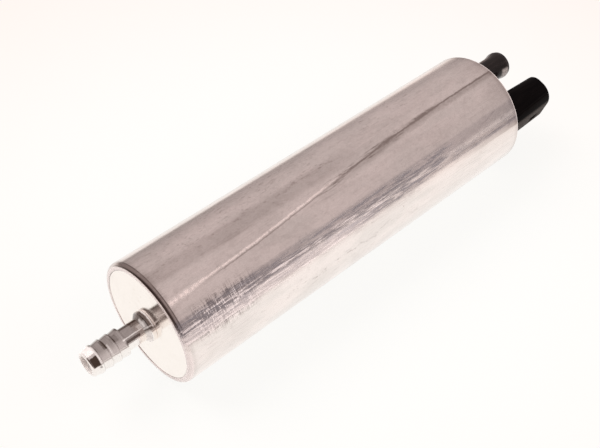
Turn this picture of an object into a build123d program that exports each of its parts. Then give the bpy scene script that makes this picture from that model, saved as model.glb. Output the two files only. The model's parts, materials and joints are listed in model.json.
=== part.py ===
from build123d import *
import os
from math import atan2, cos, degrees, pi, radians, sin

os.makedirs("parts", exist_ok=True)

# An in-line electric fuel pump, in millimetres. X runs along the can towards the connector end,
# Z is up, and the origin is on the can's axis at the middle of its length.

# Can: a drawn tube, its rims rolled over the end covers
can_diameter = 43.0
can_length = 154.0
can_wall = 1.2
rim_round = 1.5
round_bands = 2
lip_width = 2.2
lip_thickness = 1.0

# Clearances
slip_gap = 0.08
press_gap = 0.01
running_gap = 0.04
side_gap = 0.03
tip_gap = 0.05
seal_gap = 0.02
rest_gap = 0.03
brush_gap = 0.05
lead_gap = 0.3

# End covers
inlet_cover_thickness = 10.0
outlet_cover_wall = 8.0
outlet_cover_skirt = 22.0
outlet_skirt_wall = 3.0
face_sink = 0.2
seal_width = 1.8
seal_height = 1.8
seal_room = 0.4

# Hose nipple at the inlet end
nipple_length = 22.4
nipple_bore = 6.0
nipple_spigot_diameter = 9.0
nipple_spigot_length = 7.4
collar_diameter = 10.6
collar_length = 1.5
collar_cone = 1.4
nipple_stem_diameter = 7.6
nipple_stem_end = 9.6
barb_diameter = 9.6
barb_depth = 0.5
barb_pitch = 3.05
barb_count = 3
nose_land = 1.0
nose_cone = 1.05
nose_diameter = 8.8
nose_round = 0.9

# Inlet chamber and relief valve, in the inlet cover
chamber_depth = 3.0
chamber_wall = 2.5
relief_wall = 1.2
relief_plunger_diameter = 3.2
relief_plunger_length = 3.0
relief_nose = 0.9
relief_bore_depth = 8.0
relief_seat_diameter = 2.2
relief_vent_width = 2.0
relief_vent_depth = 5.0
spring_wall = 0.4

# Pumping stage: inner rotor on the shaft, outer rotor in an eccentric bore
inner_teeth = 6
eccentricity = 1.2
lobe_circle = 10.8
lobe_radius = 2.8
root_gap = 0.1
rotor_width = 8.0
outer_rotor_diameter = 26.0
eccentric_turn = 90.0
port_plate_thickness = 4.0
outlet_plate_thickness = 5.0
port_width = 2.8
port_sweep = 105.0
bearing_hub_diameter = 13.0
bearing_hub_length = 4.0

# Shaft and bearings
shaft_diameter = 5.0
drive_flat = 2.0
shaft_tail_depth = 3.0
shaft_end_chamfer = 0.4
bush_diameter = 9.0
bush_stand = 0.5
washer_diameter = 8.0
washer_thickness = 0.5
end_play = 0.1
rear_bush_length = 8.5

# Motor
flux_wall = 2.2
magnet_thickness = 4.2
magnet_overhang = 6.0
magnet_sweep = 128.0
clip_thickness = 0.6
clip_leg = 2.4
clip_setback = 10.0
air_gap = 0.7
slot_count = 8
slot_root_radius = 5.64
slot_width = 5.2
slot_foot = 2.2
slot_mouth = 1.8
tooth_lip = 1.2
wire_gap = 0.1
winding_overhang = 9.6
winding_diameter = 24.4
winding_hole = 6.8
winding_sides = 16
commutator_diameter = 17.0
commutator_hub_diameter = 13.2
bar_count = 8
bar_length = 12.5
bar_gap = 0.6
riser_diameter = 20.4
riser_length = 1.8
riser_start = 1.8
bar_setback = 3.1

# Brushes and their holder
holder_disc = 4.0
holder_skirt = 14.0
holder_wall = 2.2
brush_width = 5.0
brush_thickness = 4.0
brush_length = 6.4
guide_cap = 1.39
brush_spring_diameter = 3.0
brush_setback = 4.4
guide_wall = 1.4
guide_face_gap = 1.0
flow_hole_diameter = 5.2
flow_hole_circle = 12.5
flow_hole_count = 3
flow_hole_spread = 110.0
rear_hub_diameter = 13.0
rear_hub_length = 4.0

# Ports on the outlet cover, on one line through the axis
port_turn = 18.5
port_offset = 9.6

# Hose stub with its check valve
stub_stem_diameter = 9.3
stub_stem_end = 21.0
stub_barb_diameter = 10.6
stub_barb_rise = 2.8
stub_barb_crest = 1.1
stub_nose = 1.5
stub_nose_diameter = 10.0
stub_nose_round = 0.8
stub_bore = 6.2
seat_bore = 3.8
seat_station = 3.2
poppet_diameter = 5.0
poppet_head = 1.6
poppet_stem_diameter = 2.0
poppet_stem_length = 11.0
valve_spring_length = 9.4
valve_seal_thickness = 0.8
valve_seal_spigot = 1.8
valve_spring_diameter = 4.4
valve_guide_length = 2.6
valve_guide_hub = 3.4
valve_guide_rim = 0.6
valve_guide_spoke = 0.9
valve_guide_spokes = 3

# Plug housing with its socket and contact blades
plug_length = 25.7
plug_thickness = 12.0
plug_width = 18.2
plug_inner_corner = 4.4
plug_outer_corner = 6.0
plug_draft = 1.8
plug_edge = 0.5
socket_wall = 1.4
socket_depth = 13.0
window_length = 4.5
window_width = 3.0
window_setback = 4.4
window_offset = -1.2
blade_pitch = 6.8
blade_width = 2.8
blade_thickness = 0.8
blade_stand = 7.6
blade_tip = 0.3
blade_tail = 6.0

# Suppression chokes
choke_pitch = 9.0
choke_core_diameter = 3.2
choke_pocket_depth = 2.0
choke_coil_diameter = 5.4
choke_coil_length = 12.0

# Radii that follow from the sizes above
can_radius = can_diameter / 2
can_bore_radius = can_radius - can_wall
lip_radius = can_radius - lip_width
insert_radius = can_bore_radius - slip_gap
face_radius = lip_radius - slip_gap
shaft_radius = shaft_diameter / 2
shaft_hole_radius = shaft_radius + running_gap
fixed_hole_radius = shaft_radius + press_gap
bush_radius = bush_diameter / 2
seal_outer_radius = can_bore_radius - seal_gap
seal_inner_radius = seal_outer_radius - seal_height
seal_seat_radius = seal_inner_radius - seal_gap
flux_bore_radius = insert_radius - flux_wall
magnet_outer_radius = flux_bore_radius - slip_gap
magnet_inner_radius = magnet_outer_radius - magnet_thickness
core_radius = magnet_inner_radius - air_gap
commutator_radius = commutator_diameter / 2

# Stations along X, from the near rim to the far rim
near_face = -can_length / 2
far_face = can_length / 2
inlet_cover_front = near_face + lip_thickness
inlet_face = near_face + face_sink
inlet_cover_back = inlet_cover_front + inlet_cover_thickness
rotor_front = inlet_cover_back + port_plate_thickness
rotor_back = rotor_front + rotor_width
outlet_plate_back = rotor_back + outlet_plate_thickness
front_hub_back = outlet_plate_back + bearing_hub_length
outlet_cover_back = far_face - lip_thickness
outlet_face = far_face - face_sink
outlet_wall_front = outlet_cover_back - outlet_cover_wall
holder_back = outlet_wall_front - outlet_cover_skirt
holder_disc_front = holder_back - holder_disc
holder_front = holder_disc_front - holder_skirt
front_washer = front_hub_back + bush_stand + end_play
armature_front = front_washer + washer_thickness + end_play
core_front = armature_front + winding_overhang
rear_washer = holder_disc_front - bush_stand - end_play - washer_thickness
hub_back = rear_washer - end_play
bars_back = hub_back - bar_setback
bars_front = bars_back - bar_length
armature_wire_back = bars_front - riser_start
core_back = armature_wire_back - winding_overhang
core_length = core_back - core_front
magnet_length = core_length + 2 * magnet_overhang
clip_length = magnet_length - 2 * clip_setback
shaft_front = rotor_front - shaft_tail_depth
rear_bush_back = holder_disc_front - bush_stand + rear_bush_length


def across(station, turn=0.0):
    """A plane facing +X at a station, its own x axis turned from +Y towards +Z."""
    return Plane(
        origin=(station, 0, 0),
        x_dir=(0, cos(radians(turn)), sin(radians(turn))),
        z_dir=(1, 0, 0),
    )


def beside(turn, distance):
    """A plane through an axis parallel to X that lies off the can's axis, and that axis."""
    centre = Vector(0, distance * cos(radians(turn)), distance * sin(radians(turn)))
    out = Vector(0, -sin(radians(turn)), cos(radians(turn)))
    plane = Plane(origin=centre, x_dir=(1, 0, 0), z_dir=Vector(1, 0, 0).cross(out))
    return plane, Axis(centre, (1, 0, 0))


def turned_corner(face, side, corner_round):
    """Points of a turned end's rounded corner as flat bands, from its face to its side."""
    outward = 1 if face > 0 else -1
    centre = (face - outward * corner_round, side - corner_round)
    turns = [radians(90 * band / round_bands) for band in range(round_bands + 1)]
    return [
        (centre[0] + outward * corner_round * cos(turn), centre[1] + corner_round * sin(turn))
        for turn in turns
    ]


# Can: the tube and both rolled rims are one turned profile
with BuildPart() as can:
    with BuildSketch(Plane.XY):
        with BuildLine():
            Polyline(
                *turned_corner(near_face, can_radius, rim_round),
                *reversed(turned_corner(far_face, can_radius, rim_round)),
                (far_face, lip_radius),
                (far_face - lip_thickness, lip_radius),
                (far_face - lip_thickness, can_bore_radius),
                (near_face + lip_thickness, can_bore_radius),
                (near_face + lip_thickness, lip_radius),
                (near_face, lip_radius),
                close=True,
            )
        make_face()
    revolve(axis=Axis.X)
can.part.label = "can"

# Relief valve stations: the plunger's cone rests on the port plate's seat, inside the cover's bore
relief_turn = eccentric_turn + 180
relief_radius = relief_plunger_diameter / 2
relief_bore_radius = relief_radius + running_gap
relief_circle = seal_seat_radius - relief_wall - relief_bore_radius
relief_plane, relief_axis = beside(relief_turn, relief_circle)
relief_seat_radius = relief_seat_diameter / 2
relief_cone_start = inlet_cover_back - (relief_radius - relief_seat_radius) - rest_gap
relief_plunger_back = relief_cone_start - relief_plunger_length
relief_bore_end = inlet_cover_back - relief_bore_depth

# Inlet cover: flange under the lip, raised face, seal seat, fuel chamber and relief bore
with BuildPart() as inlet_cover:
    with BuildSketch(across(inlet_cover_front)):
        Circle(face_radius)
    extrude(amount=inlet_face - inlet_cover_front)
    with BuildSketch(across(inlet_cover_front)):
        Circle(insert_radius)
    extrude(amount=inlet_cover_thickness)
    with BuildSketch(across(inlet_cover_back)):
        Circle(2 * can_radius)
        Circle(seal_seat_radius, mode=Mode.SUBTRACT)
    extrude(amount=-seal_width - seal_room, mode=Mode.SUBTRACT)
    with BuildSketch(across(inlet_cover_back)):
        Circle(relief_circle - relief_bore_radius - chamber_wall)
    extrude(amount=-chamber_depth, mode=Mode.SUBTRACT)
    with BuildSketch(across(inlet_face)):
        Circle(nipple_spigot_diameter / 2 + press_gap)
    extrude(amount=inlet_cover_back - inlet_face, mode=Mode.SUBTRACT)
    with BuildSketch(across(inlet_cover_back, relief_turn)):
        with Locations((relief_circle, 0)):
            Circle(relief_bore_radius)
    extrude(amount=-relief_bore_depth, mode=Mode.SUBTRACT)
    with BuildSketch(across(inlet_cover_back, relief_turn)):
        with Locations((relief_circle / 2, 0)):
            Rectangle(relief_circle, relief_vent_width)
    extrude(amount=-relief_vent_depth, mode=Mode.SUBTRACT)
inlet_cover.part.label = "inlet_cover"

# Hose nipple: spigot, collar, cone, stem, barbs that rise towards the cover, and a rounded nose
nipple_tip = inlet_face - nipple_length
stem_radius = nipple_stem_diameter / 2
barb_radius = barb_diameter / 2
barb_root = barb_radius - barb_depth
barb_start = inlet_face - nipple_stem_end
nose_start = barb_start - barb_pitch * barb_count
with BuildPart() as inlet_nipple:
    with BuildSketch(Plane.XY):
        with BuildLine():
            outline = [
                (inlet_face + nipple_spigot_length, nipple_bore / 2),
                (inlet_face + nipple_spigot_length, nipple_spigot_diameter / 2),
                (inlet_face, nipple_spigot_diameter / 2),
                (inlet_face, collar_diameter / 2),
                (inlet_face - collar_length, collar_diameter / 2),
                (inlet_face - collar_length - collar_cone, stem_radius),
                (barb_start, stem_radius),
            ]
            for barb in range(barb_count):
                shoulder = barb_start - barb * barb_pitch
                outline += [(shoulder, barb_radius), (shoulder - barb_pitch, barb_root)]
            outline += [
                (nose_start, barb_radius),
                (nose_start - nose_land, barb_radius),
                (nose_start - nose_land - nose_cone, nose_diameter / 2),
                *reversed(turned_corner(nipple_tip, nose_diameter / 2, nose_round)),
                (nipple_tip, nipple_bore / 2),
            ]
            Polyline(*outline, close=True)
        make_face()
    revolve(axis=Axis.X)
inlet_nipple.part.label = "inlet_nipple"

# Seals: square-cut rings that close the gap between the stack and the can at both ends
def seal_ring(front):
    """One seal, from its front face, squeezed between its seat and the can's bore."""
    with BuildPart() as ring:
        with BuildSketch(across(front)):
            Circle(seal_outer_radius)
            Circle(seal_inner_radius, mode=Mode.SUBTRACT)
        extrude(amount=seal_width)
    return ring


inlet_seal = seal_ring(inlet_cover_back - seal_room / 2 - seal_width)
inlet_seal.part.label = "inlet_seal"
outlet_seal = seal_ring(holder_back + seal_room / 2)
outlet_seal.part.label = "outlet_seal"

# Relief valve: plunger on the port plate's seat, and the spring behind it in the blind bore.
# The springs and coils that the can hides are plain eight-sided sleeves of the real size.
with BuildPart() as relief_plunger:
    with BuildSketch(relief_plane):
        with BuildLine():
            Polyline(
                (relief_plunger_back, 0),
                (relief_plunger_back, relief_radius),
                (relief_cone_start, relief_radius),
                (relief_cone_start + relief_nose, relief_radius - relief_nose),
                (relief_cone_start + relief_nose, 0),
                close=True,
            )
        make_face()
    revolve(axis=relief_axis)
relief_plunger.part.label = "relief_plunger"

with BuildPart() as relief_spring:
    with BuildSketch(across(relief_bore_end + rest_gap, relief_turn)):
        with Locations((relief_circle, 0)):
            RegularPolygon(relief_radius, 8)
            RegularPolygon(relief_radius - spring_wall, 8, mode=Mode.SUBTRACT)
    extrude(amount=relief_plunger_back - relief_bore_end - 2 * rest_gap)
relief_spring.part.label = "relief_spring"

# Pumping stage. The lobes stand on lobe_circle about the outer rotor's centre, and the inner
# rotor's flank is the curve that a lobe leaves as it rolls round it, less the tip gap.
outer_lobes = inner_teeth + 1
rotor_span = rotor_width - 2 * side_gap
eccentric_y = eccentricity * cos(radians(eccentric_turn))
eccentric_z = eccentricity * sin(radians(eccentric_turn))
outer_root_radius = lobe_circle - lobe_radius + 2 * eccentricity + root_gap
port_radius = (outer_root_radius + lobe_circle - lobe_radius - eccentricity) / 2

# Shares of a tooth's pitch that part its flank into four arcs of one length, with their middles
flank_marks = (0, 0.0226, 0.0802, 0.3545, 0.5, 0.6455, 0.9198, 0.9774, 1)


def rolled_flank(angle):
    """A point of the inner rotor's outline, with a valley at angle 0 on the local x axis."""
    lead = atan2(
        sin((1 - outer_lobes) * angle),
        lobe_circle / (eccentricity * outer_lobes) - cos((1 - outer_lobes) * angle),
    )
    reach = lobe_radius + tip_gap
    x = lobe_circle * cos(angle) - reach * cos(angle + lead) - eccentricity * cos(outer_lobes * angle)
    y = lobe_circle * sin(angle) - reach * sin(angle + lead) - eccentricity * sin(outer_lobes * angle)
    return (x, y)


with BuildPart() as inner_rotor:
    with BuildSketch(across(rotor_front + side_gap, eccentric_turn + 180)):
        with BuildLine():
            for tooth in range(inner_teeth):
                flank = [rolled_flank(2 * pi * (tooth + mark) / inner_teeth) for mark in flank_marks]
                for first in range(0, len(flank) - 1, 2):
                    ThreePointArc(*flank[first : first + 3])
        make_face()
        with BuildSketch(mode=Mode.SUBTRACT):
            Circle(fixed_hole_radius)
            Rectangle(2 * shaft_diameter, 2 * (drive_flat + press_gap), mode=Mode.INTERSECT)
    extrude(amount=rotor_span)
inner_rotor.part.label = "inner_rotor"

with BuildPart() as outer_rotor:
    with BuildSketch(across(rotor_front + side_gap, eccentric_turn)):
        with Locations((eccentricity, 0)):
            Circle(outer_rotor_diameter / 2)
            Circle(outer_root_radius, mode=Mode.SUBTRACT)
            with PolarLocations(lobe_circle, outer_lobes, start_angle=180):
                Circle(lobe_radius)
            Circle(outer_rotor_diameter / 2, mode=Mode.INTERSECT)
    extrude(amount=rotor_span)
outer_rotor.part.label = "outer_rotor"

# Port plate: suction port, shaft tail bearing and the relief seat
with BuildPart() as port_plate:
    with BuildSketch(across(inlet_cover_back)):
        Circle(insert_radius)
        SlotArc(CenterArc((0, 0), port_radius, 180 - port_sweep / 2, port_sweep), port_width, mode=Mode.SUBTRACT)
        with PolarLocations(relief_circle, 1, start_angle=relief_turn):
            Circle(relief_seat_radius, mode=Mode.SUBTRACT)
    extrude(amount=port_plate_thickness)
    with BuildSketch(across(rotor_front)):
        Circle(shaft_hole_radius)
    extrude(amount=-shaft_tail_depth - end_play, mode=Mode.SUBTRACT)
port_plate.part.label = "port_plate"

# Pump ring: the outer rotor's eccentric bore and the relief passage
with BuildPart() as pump_ring:
    with BuildSketch(across(rotor_front)):
        Circle(insert_radius)
        with Locations((eccentric_y, eccentric_z)):
            Circle(outer_rotor_diameter / 2 + running_gap, mode=Mode.SUBTRACT)
        with PolarLocations(relief_circle, 1, start_angle=relief_turn):
            Circle(relief_seat_radius, mode=Mode.SUBTRACT)
    extrude(amount=rotor_width)
pump_ring.part.label = "pump_ring"

# Outlet plate: pressure port, bearing hub and the relief passage
with BuildPart() as outlet_plate:
    with BuildSketch(across(rotor_back)):
        Circle(insert_radius)
        SlotArc(CenterArc((0, 0), port_radius, -port_sweep / 2, port_sweep), port_width, mode=Mode.SUBTRACT)
        with PolarLocations(relief_circle, 1, start_angle=relief_turn):
            Circle(relief_seat_radius, mode=Mode.SUBTRACT)
    extrude(amount=outlet_plate_thickness)
    with BuildSketch(across(outlet_plate_back)):
        Circle(bearing_hub_diameter / 2)
    extrude(amount=bearing_hub_length)
    with BuildSketch(across(rotor_back)):
        Circle(bush_radius + press_gap)
    extrude(amount=outlet_plate_thickness + bearing_hub_length, mode=Mode.SUBTRACT)
outlet_plate.part.label = "outlet_plate"

# Bearing bushes: plain in the outlet plate and in the brush holder
with BuildPart() as front_bush:
    with BuildSketch(across(rotor_back + rest_gap)):
        Circle(bush_radius)
        Circle(shaft_hole_radius, mode=Mode.SUBTRACT)
    extrude(amount=front_hub_back + bush_stand - rotor_back - rest_gap)
front_bush.part.label = "front_bush"

with BuildPart() as rear_bush:
    with BuildSketch(across(holder_disc_front - bush_stand)):
        Circle(bush_radius)
        Circle(shaft_hole_radius, mode=Mode.SUBTRACT)
    extrude(amount=rear_bush_length)
rear_bush.part.label = "rear_bush"

# Shaft: round, with two drive flats through the inner rotor
with BuildPart() as motor_shaft:
    with BuildSketch(across(shaft_front)):
        Circle(shaft_radius)
    extrude(amount=rear_bush_back - shaft_front)
    with BuildSketch(across(rotor_front + side_gap, eccentric_turn + 180)):
        Circle(shaft_diameter)
        Rectangle(3 * shaft_diameter, 2 * drive_flat, mode=Mode.SUBTRACT)
    extrude(amount=rotor_span, mode=Mode.SUBTRACT)
    chamfer(motor_shaft.edges().filter_by(GeomType.CIRCLE).group_by(Axis.X)[-1], shaft_end_chamfer)
motor_shaft.part.label = "motor_shaft"

# Thrust washers at both ends of the armature
with BuildPart() as thrust_washers:
    for station in (front_washer, rear_washer):
        with BuildSketch(across(station)):
            Circle(washer_diameter / 2)
            Circle(shaft_hole_radius, mode=Mode.SUBTRACT)
        extrude(amount=washer_thickness)
thrust_washers.part.label = "thrust_washers"

# Armature: slotted core, and a winding that fills the slots and stands out at both ends
slot_top = core_radius - tooth_lip
slot_points = [
    (slot_root_radius, -slot_foot / 2),
    (slot_top, -slot_width / 2),
    (slot_top, slot_width / 2),
    (slot_root_radius, slot_foot / 2),
]
with BuildPart() as armature_core:
    with BuildSketch(across(core_front)):
        Circle(core_radius)
        Circle(fixed_hole_radius, mode=Mode.SUBTRACT)
        with PolarLocations(0, slot_count):
            Polygon(*slot_points, align=None, mode=Mode.SUBTRACT)
        with PolarLocations(core_radius, slot_count):
            Rectangle(4 * tooth_lip, slot_mouth, mode=Mode.SUBTRACT)
    extrude(amount=core_length)
armature_core.part.label = "armature_core"

with BuildPart() as armature_winding:
    for front, back in ((armature_front, core_front), (core_back, armature_wire_back)):
        with BuildSketch(across(front)):
            RegularPolygon(winding_diameter / 2, winding_sides)
            RegularPolygon(winding_hole / 2, winding_sides, mode=Mode.SUBTRACT)
        extrude(amount=back - front)
    with BuildSketch(across(core_front)):
        with PolarLocations(0, slot_count):
            Polygon(*slot_points, align=None)
        offset(amount=-wire_gap)
    extrude(amount=core_length)
armature_winding.part.label = "armature_winding"

# Commutator: moulded hub, and bars with risers towards the windings
with BuildPart() as commutator_hub:
    with BuildSketch(across(armature_wire_back + rest_gap)):
        Circle(commutator_hub_diameter / 2)
        Circle(fixed_hole_radius, mode=Mode.SUBTRACT)
    extrude(amount=hub_back - armature_wire_back - rest_gap)
commutator_hub.part.label = "commutator_hub"

with BuildPart() as commutator_bars:
    with BuildSketch(across(bars_front)):
        Circle(commutator_radius)
    extrude(amount=bar_length)
    with BuildSketch(across(bars_front)):
        Circle(riser_diameter / 2)
    extrude(amount=riser_length)
    with BuildSketch(across(bars_front)):
        Circle(commutator_hub_diameter / 2 + press_gap)
        with PolarLocations(riser_diameter / 4, bar_count, start_angle=180 / bar_count):
            Rectangle(riser_diameter / 2 + bar_gap, bar_gap)
    extrude(amount=bar_length, mode=Mode.SUBTRACT)
commutator_bars.part.label = "commutator_bars"

# Flux ring: the yoke that spaces the outlet plate from the brush holder
with BuildPart() as flux_ring:
    with BuildSketch(across(outlet_plate_back)):
        Circle(insert_radius)
        Circle(flux_bore_radius, mode=Mode.SUBTRACT)
    extrude(amount=holder_front - outlet_plate_back)
flux_ring.part.label = "flux_ring"

# Magnets: two arcs, left and right, held apart by spring clips above and below
magnet_middle = (core_front + core_back) / 2


def bent_bar(inner, outer, sweep):
    """Draws a bar bent round the axis, between two radii and centred on the local x axis."""
    outer_arc = CenterArc((0, 0), outer, -sweep / 2, sweep)
    inner_arc = CenterArc((0, 0), inner, -sweep / 2, sweep)
    Line(outer_arc @ 0, inner_arc @ 0)
    Line(outer_arc @ 1, inner_arc @ 1)


def magnet_arc(turn):
    """One magnet, with its middle turned from +Y towards +Z."""
    with BuildPart() as magnet:
        with BuildSketch(across(magnet_middle - magnet_length / 2, turn)):
            with BuildLine():
                bent_bar(magnet_inner_radius, magnet_outer_radius, magnet_sweep)
            make_face()
        extrude(amount=magnet_length)
    return magnet


left_magnet = magnet_arc(0)
left_magnet.part.label = "left_magnet"
right_magnet = magnet_arc(180)
right_magnet.part.label = "right_magnet"

clip_sweep = 180 - magnet_sweep - 2 * degrees(slip_gap / magnet_inner_radius)
clip_leg_angle = degrees(clip_thickness / magnet_outer_radius)
with BuildPart() as magnet_clips:
    for turn in (90, 270):
        with BuildSketch(across(magnet_middle - clip_length / 2, turn)):
            with BuildLine():
                bent_bar(magnet_outer_radius - clip_leg, magnet_outer_radius, clip_sweep)
            make_face()
            with BuildLine():
                bent_bar(
                    magnet_outer_radius - clip_leg - clip_thickness,
                    magnet_outer_radius - clip_thickness,
                    clip_sweep - 2 * clip_leg_angle,
                )
            make_face(mode=Mode.SUBTRACT)
        extrude(amount=clip_length)
magnet_clips.part.label = "magnet_clips"

# Brush holder: a cup behind the yoke with the rear bearing seat, two brush guides above and
# below the commutator, fuel passages on the stub's side and pockets for the chokes
brush_station = bars_back - brush_setback
brush_foot = commutator_radius + rest_gap
brush_back = brush_foot + brush_length
guide_back = insert_radius - guide_cap
guide_foot = commutator_radius + guide_face_gap
channel_width = brush_width + 2 * brush_gap
channel_thickness = brush_thickness + 2 * brush_gap
guide_front = brush_station - channel_width / 2 - guide_wall
choke_pocket_radius = choke_core_diameter / 2 + press_gap
with BuildPart() as brush_holder:
    with BuildSketch(across(holder_front)):
        Circle(insert_radius)
    extrude(amount=holder_back - holder_front)
    with BuildSketch(across(holder_front)):
        Circle(insert_radius - holder_wall)
    extrude(amount=holder_skirt, mode=Mode.SUBTRACT)
    with BuildSketch(across(holder_back)):
        Circle(rear_hub_diameter / 2)
    extrude(amount=rear_hub_length)
    for turn in (90, 270):
        with BuildSketch(across(guide_front, turn)):
            with Locations(((guide_foot + insert_radius - holder_wall / 2) / 2, 0)):
                Rectangle(
                    insert_radius - holder_wall / 2 - guide_foot,
                    channel_thickness + 2 * guide_wall,
                )
        extrude(amount=holder_disc_front - guide_front)
        with BuildSketch(across(brush_station - channel_width / 2, turn)):
            with Locations((guide_back / 2, 0)):
                Rectangle(guide_back, channel_thickness)
        extrude(amount=channel_width, mode=Mode.SUBTRACT)
    with BuildSketch(across(holder_disc_front)):
        Circle(bush_radius + press_gap)
        with PolarLocations(
            flow_hole_circle, flow_hole_count, -flow_hole_spread / 2, flow_hole_spread, endpoint=True
        ):
            Circle(flow_hole_diameter / 2)
    extrude(amount=rear_bush_back - holder_disc_front, mode=Mode.SUBTRACT)
    with BuildSketch(across(holder_back, port_turn)):
        with Locations((-port_offset, choke_pitch / 2), (-port_offset, -choke_pitch / 2)):
            Circle(choke_pocket_radius)
    extrude(amount=-choke_pocket_depth, mode=Mode.SUBTRACT)
brush_holder.part.label = "brush_holder"


def brush_block(turn):
    """One brush, its foot hollowed to the commutator's radius."""
    with BuildPart() as brush:
        with BuildSketch(across(brush_station - brush_width / 2, turn)):
            with Locations((brush_back / 2, 0)):
                Rectangle(brush_back, brush_thickness)
            Circle(brush_foot, mode=Mode.SUBTRACT)
        extrude(amount=brush_width)
    return brush


def brush_spring(turn):
    """The spring between a brush and its guide's closed end."""
    seat = Plane(
        origin=(brush_station, 0, 0),
        x_dir=(1, 0, 0),
        z_dir=(0, cos(radians(turn)), sin(radians(turn))),
    )
    with BuildPart() as spring:
        with BuildSketch(seat.offset(brush_back + rest_gap)):
            RegularPolygon(brush_spring_diameter / 2, 8)
            RegularPolygon(brush_spring_diameter / 2 - spring_wall, 8, mode=Mode.SUBTRACT)
        extrude(amount=guide_back - brush_back - 2 * rest_gap)
    return spring


upper_brush = brush_block(90)
upper_brush.part.label = "upper_brush"
lower_brush = brush_block(270)
lower_brush.part.label = "lower_brush"
upper_brush_spring = brush_spring(90)
upper_brush_spring.part.label = "upper_brush_spring"
lower_brush_spring = brush_spring(270)
lower_brush_spring.part.label = "lower_brush_spring"

# Chokes: a ferrite rod in a pocket of the holder for each blade, and its coil
blade_front = outlet_wall_front - blade_tail
choke_core_front = holder_back - choke_pocket_depth + rest_gap
choke_core_back = blade_front - lead_gap
choke_coil_front = (holder_back + choke_core_back - choke_coil_length) / 2
choke_spots = ((-port_offset, choke_pitch / 2), (-port_offset, -choke_pitch / 2))
with BuildPart() as choke_cores:
    with BuildSketch(across(choke_core_front, port_turn)):
        with Locations(*choke_spots):
            Circle(choke_core_diameter / 2)
    extrude(amount=choke_core_back - choke_core_front)
choke_cores.part.label = "choke_cores"

with BuildPart() as choke_coils:
    with BuildSketch(across(choke_coil_front, port_turn)):
        with Locations(*choke_spots):
            RegularPolygon(choke_coil_diameter / 2, 8)
            Circle(choke_pocket_radius, mode=Mode.SUBTRACT)
    extrude(amount=choke_coil_length)
choke_coils.part.label = "choke_coils"

# Outlet cover: skirt that holds the brush holder, seal seat, face under the lip, the hose
# stub with the valve's seat, and the plug housing with its socket and latch window
stub_plane, stub_axis = beside(port_turn, port_offset)
stub_tip = outlet_face + stub_stem_end + stub_barb_rise + stub_barb_crest + stub_nose
valve_seat = outlet_face + seat_station
plug_tip = outlet_face + plug_length
socket_floor = plug_tip - socket_depth
blade_spots = ((-port_offset, blade_pitch / 2), (-port_offset, -blade_pitch / 2))


def plug_section(inset):
    """Draws the plug's rounded outline at its mouth, drawn in by an inset."""
    with Locations((-port_offset, 0)):
        Rectangle(plug_thickness - 2 * inset, plug_width - 2 * inset)


with BuildPart() as outlet_cover:
    with BuildSketch(Plane.XY):
        with BuildLine():
            Polyline(
                (holder_back, insert_radius - outlet_skirt_wall),
                (holder_back, seal_seat_radius),
                (holder_back + seal_width + seal_room, seal_seat_radius),
                (holder_back + seal_width + seal_room, insert_radius),
                (outlet_cover_back, insert_radius),
                (outlet_cover_back, face_radius),
                (outlet_face, face_radius),
                (outlet_face, 0),
                (outlet_wall_front, 0),
                (outlet_wall_front, insert_radius - outlet_skirt_wall),
                close=True,
            )
        make_face()
    revolve(axis=Axis.X)
    with BuildSketch(stub_plane):
        with BuildLine():
            stub_radius = stub_stem_diameter / 2
            barb_end = stub_tip - stub_nose
            Polyline(
                (outlet_wall_front, 0),
                (outlet_wall_front, stub_radius),
                (outlet_face + stub_stem_end, stub_radius),
                (barb_end - stub_barb_crest, stub_barb_diameter / 2),
                (barb_end, stub_barb_diameter / 2),
                *reversed(turned_corner(stub_tip, stub_nose_diameter / 2, stub_nose_round)),
                (stub_tip, 0),
                close=True,
            )
        make_face()
    revolve(axis=stub_axis)
    with BuildSketch(across(plug_tip, port_turn)) as plug_mouth:
        plug_section(0)
        fillet(plug_mouth.vertices().group_by(Axis.X)[-1], plug_inner_corner)
        fillet(plug_mouth.vertices().group_by(Axis.X)[0], plug_outer_corner)
    extrude(amount=-plug_length, taper=-plug_draft)
    mouth_face = outlet_cover.faces().filter_by(GeomType.PLANE).filter_by_position(
        Axis.X, plug_tip - rest_gap, plug_tip + rest_gap
    )
    chamfer(mouth_face.edges(), plug_edge)
    with BuildSketch(across(plug_tip, port_turn)) as socket_mouth:
        plug_section(socket_wall)
        fillet(socket_mouth.vertices().group_by(Axis.X)[-1], plug_inner_corner - socket_wall)
        fillet(socket_mouth.vertices().group_by(Axis.X)[0], plug_outer_corner - socket_wall)
    extrude(amount=-socket_depth, mode=Mode.SUBTRACT)
    with BuildSketch(across(plug_tip - window_setback - window_length, port_turn)):
        with Locations((-port_offset - plug_thickness / 2, window_offset)):
            Rectangle(4 * socket_wall, window_width)
    extrude(amount=window_length, mode=Mode.SUBTRACT)
    with BuildSketch(across(outlet_wall_front, port_turn)):
        with Locations(*blade_spots):
            Rectangle(blade_width + 2 * press_gap, blade_thickness + 2 * press_gap)
    extrude(amount=socket_floor - outlet_wall_front, mode=Mode.SUBTRACT)
    with BuildSketch(across(outlet_wall_front, port_turn)):
        with Locations((port_offset, 0)):
            Circle(seat_bore / 2)
    extrude(amount=valve_seat - outlet_wall_front, mode=Mode.SUBTRACT)
    with BuildSketch(across(valve_seat, port_turn)):
        with Locations((port_offset, 0)):
            Circle(stub_bore / 2)
    extrude(amount=stub_tip - valve_seat, mode=Mode.SUBTRACT)
outlet_cover.part.label = "outlet_cover"

# Contact blades: pressed through the cover's wall, their tips inside the socket
with BuildPart() as contact_blades:
    with BuildSketch(across(blade_front, port_turn)):
        with Locations(*blade_spots):
            Rectangle(blade_width, blade_thickness)
    extrude(amount=socket_floor + blade_stand - blade_front)
    chamfer(contact_blades.edges().group_by(Axis.X)[-1], blade_tip)
contact_blades.part.label = "contact_blades"

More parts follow.
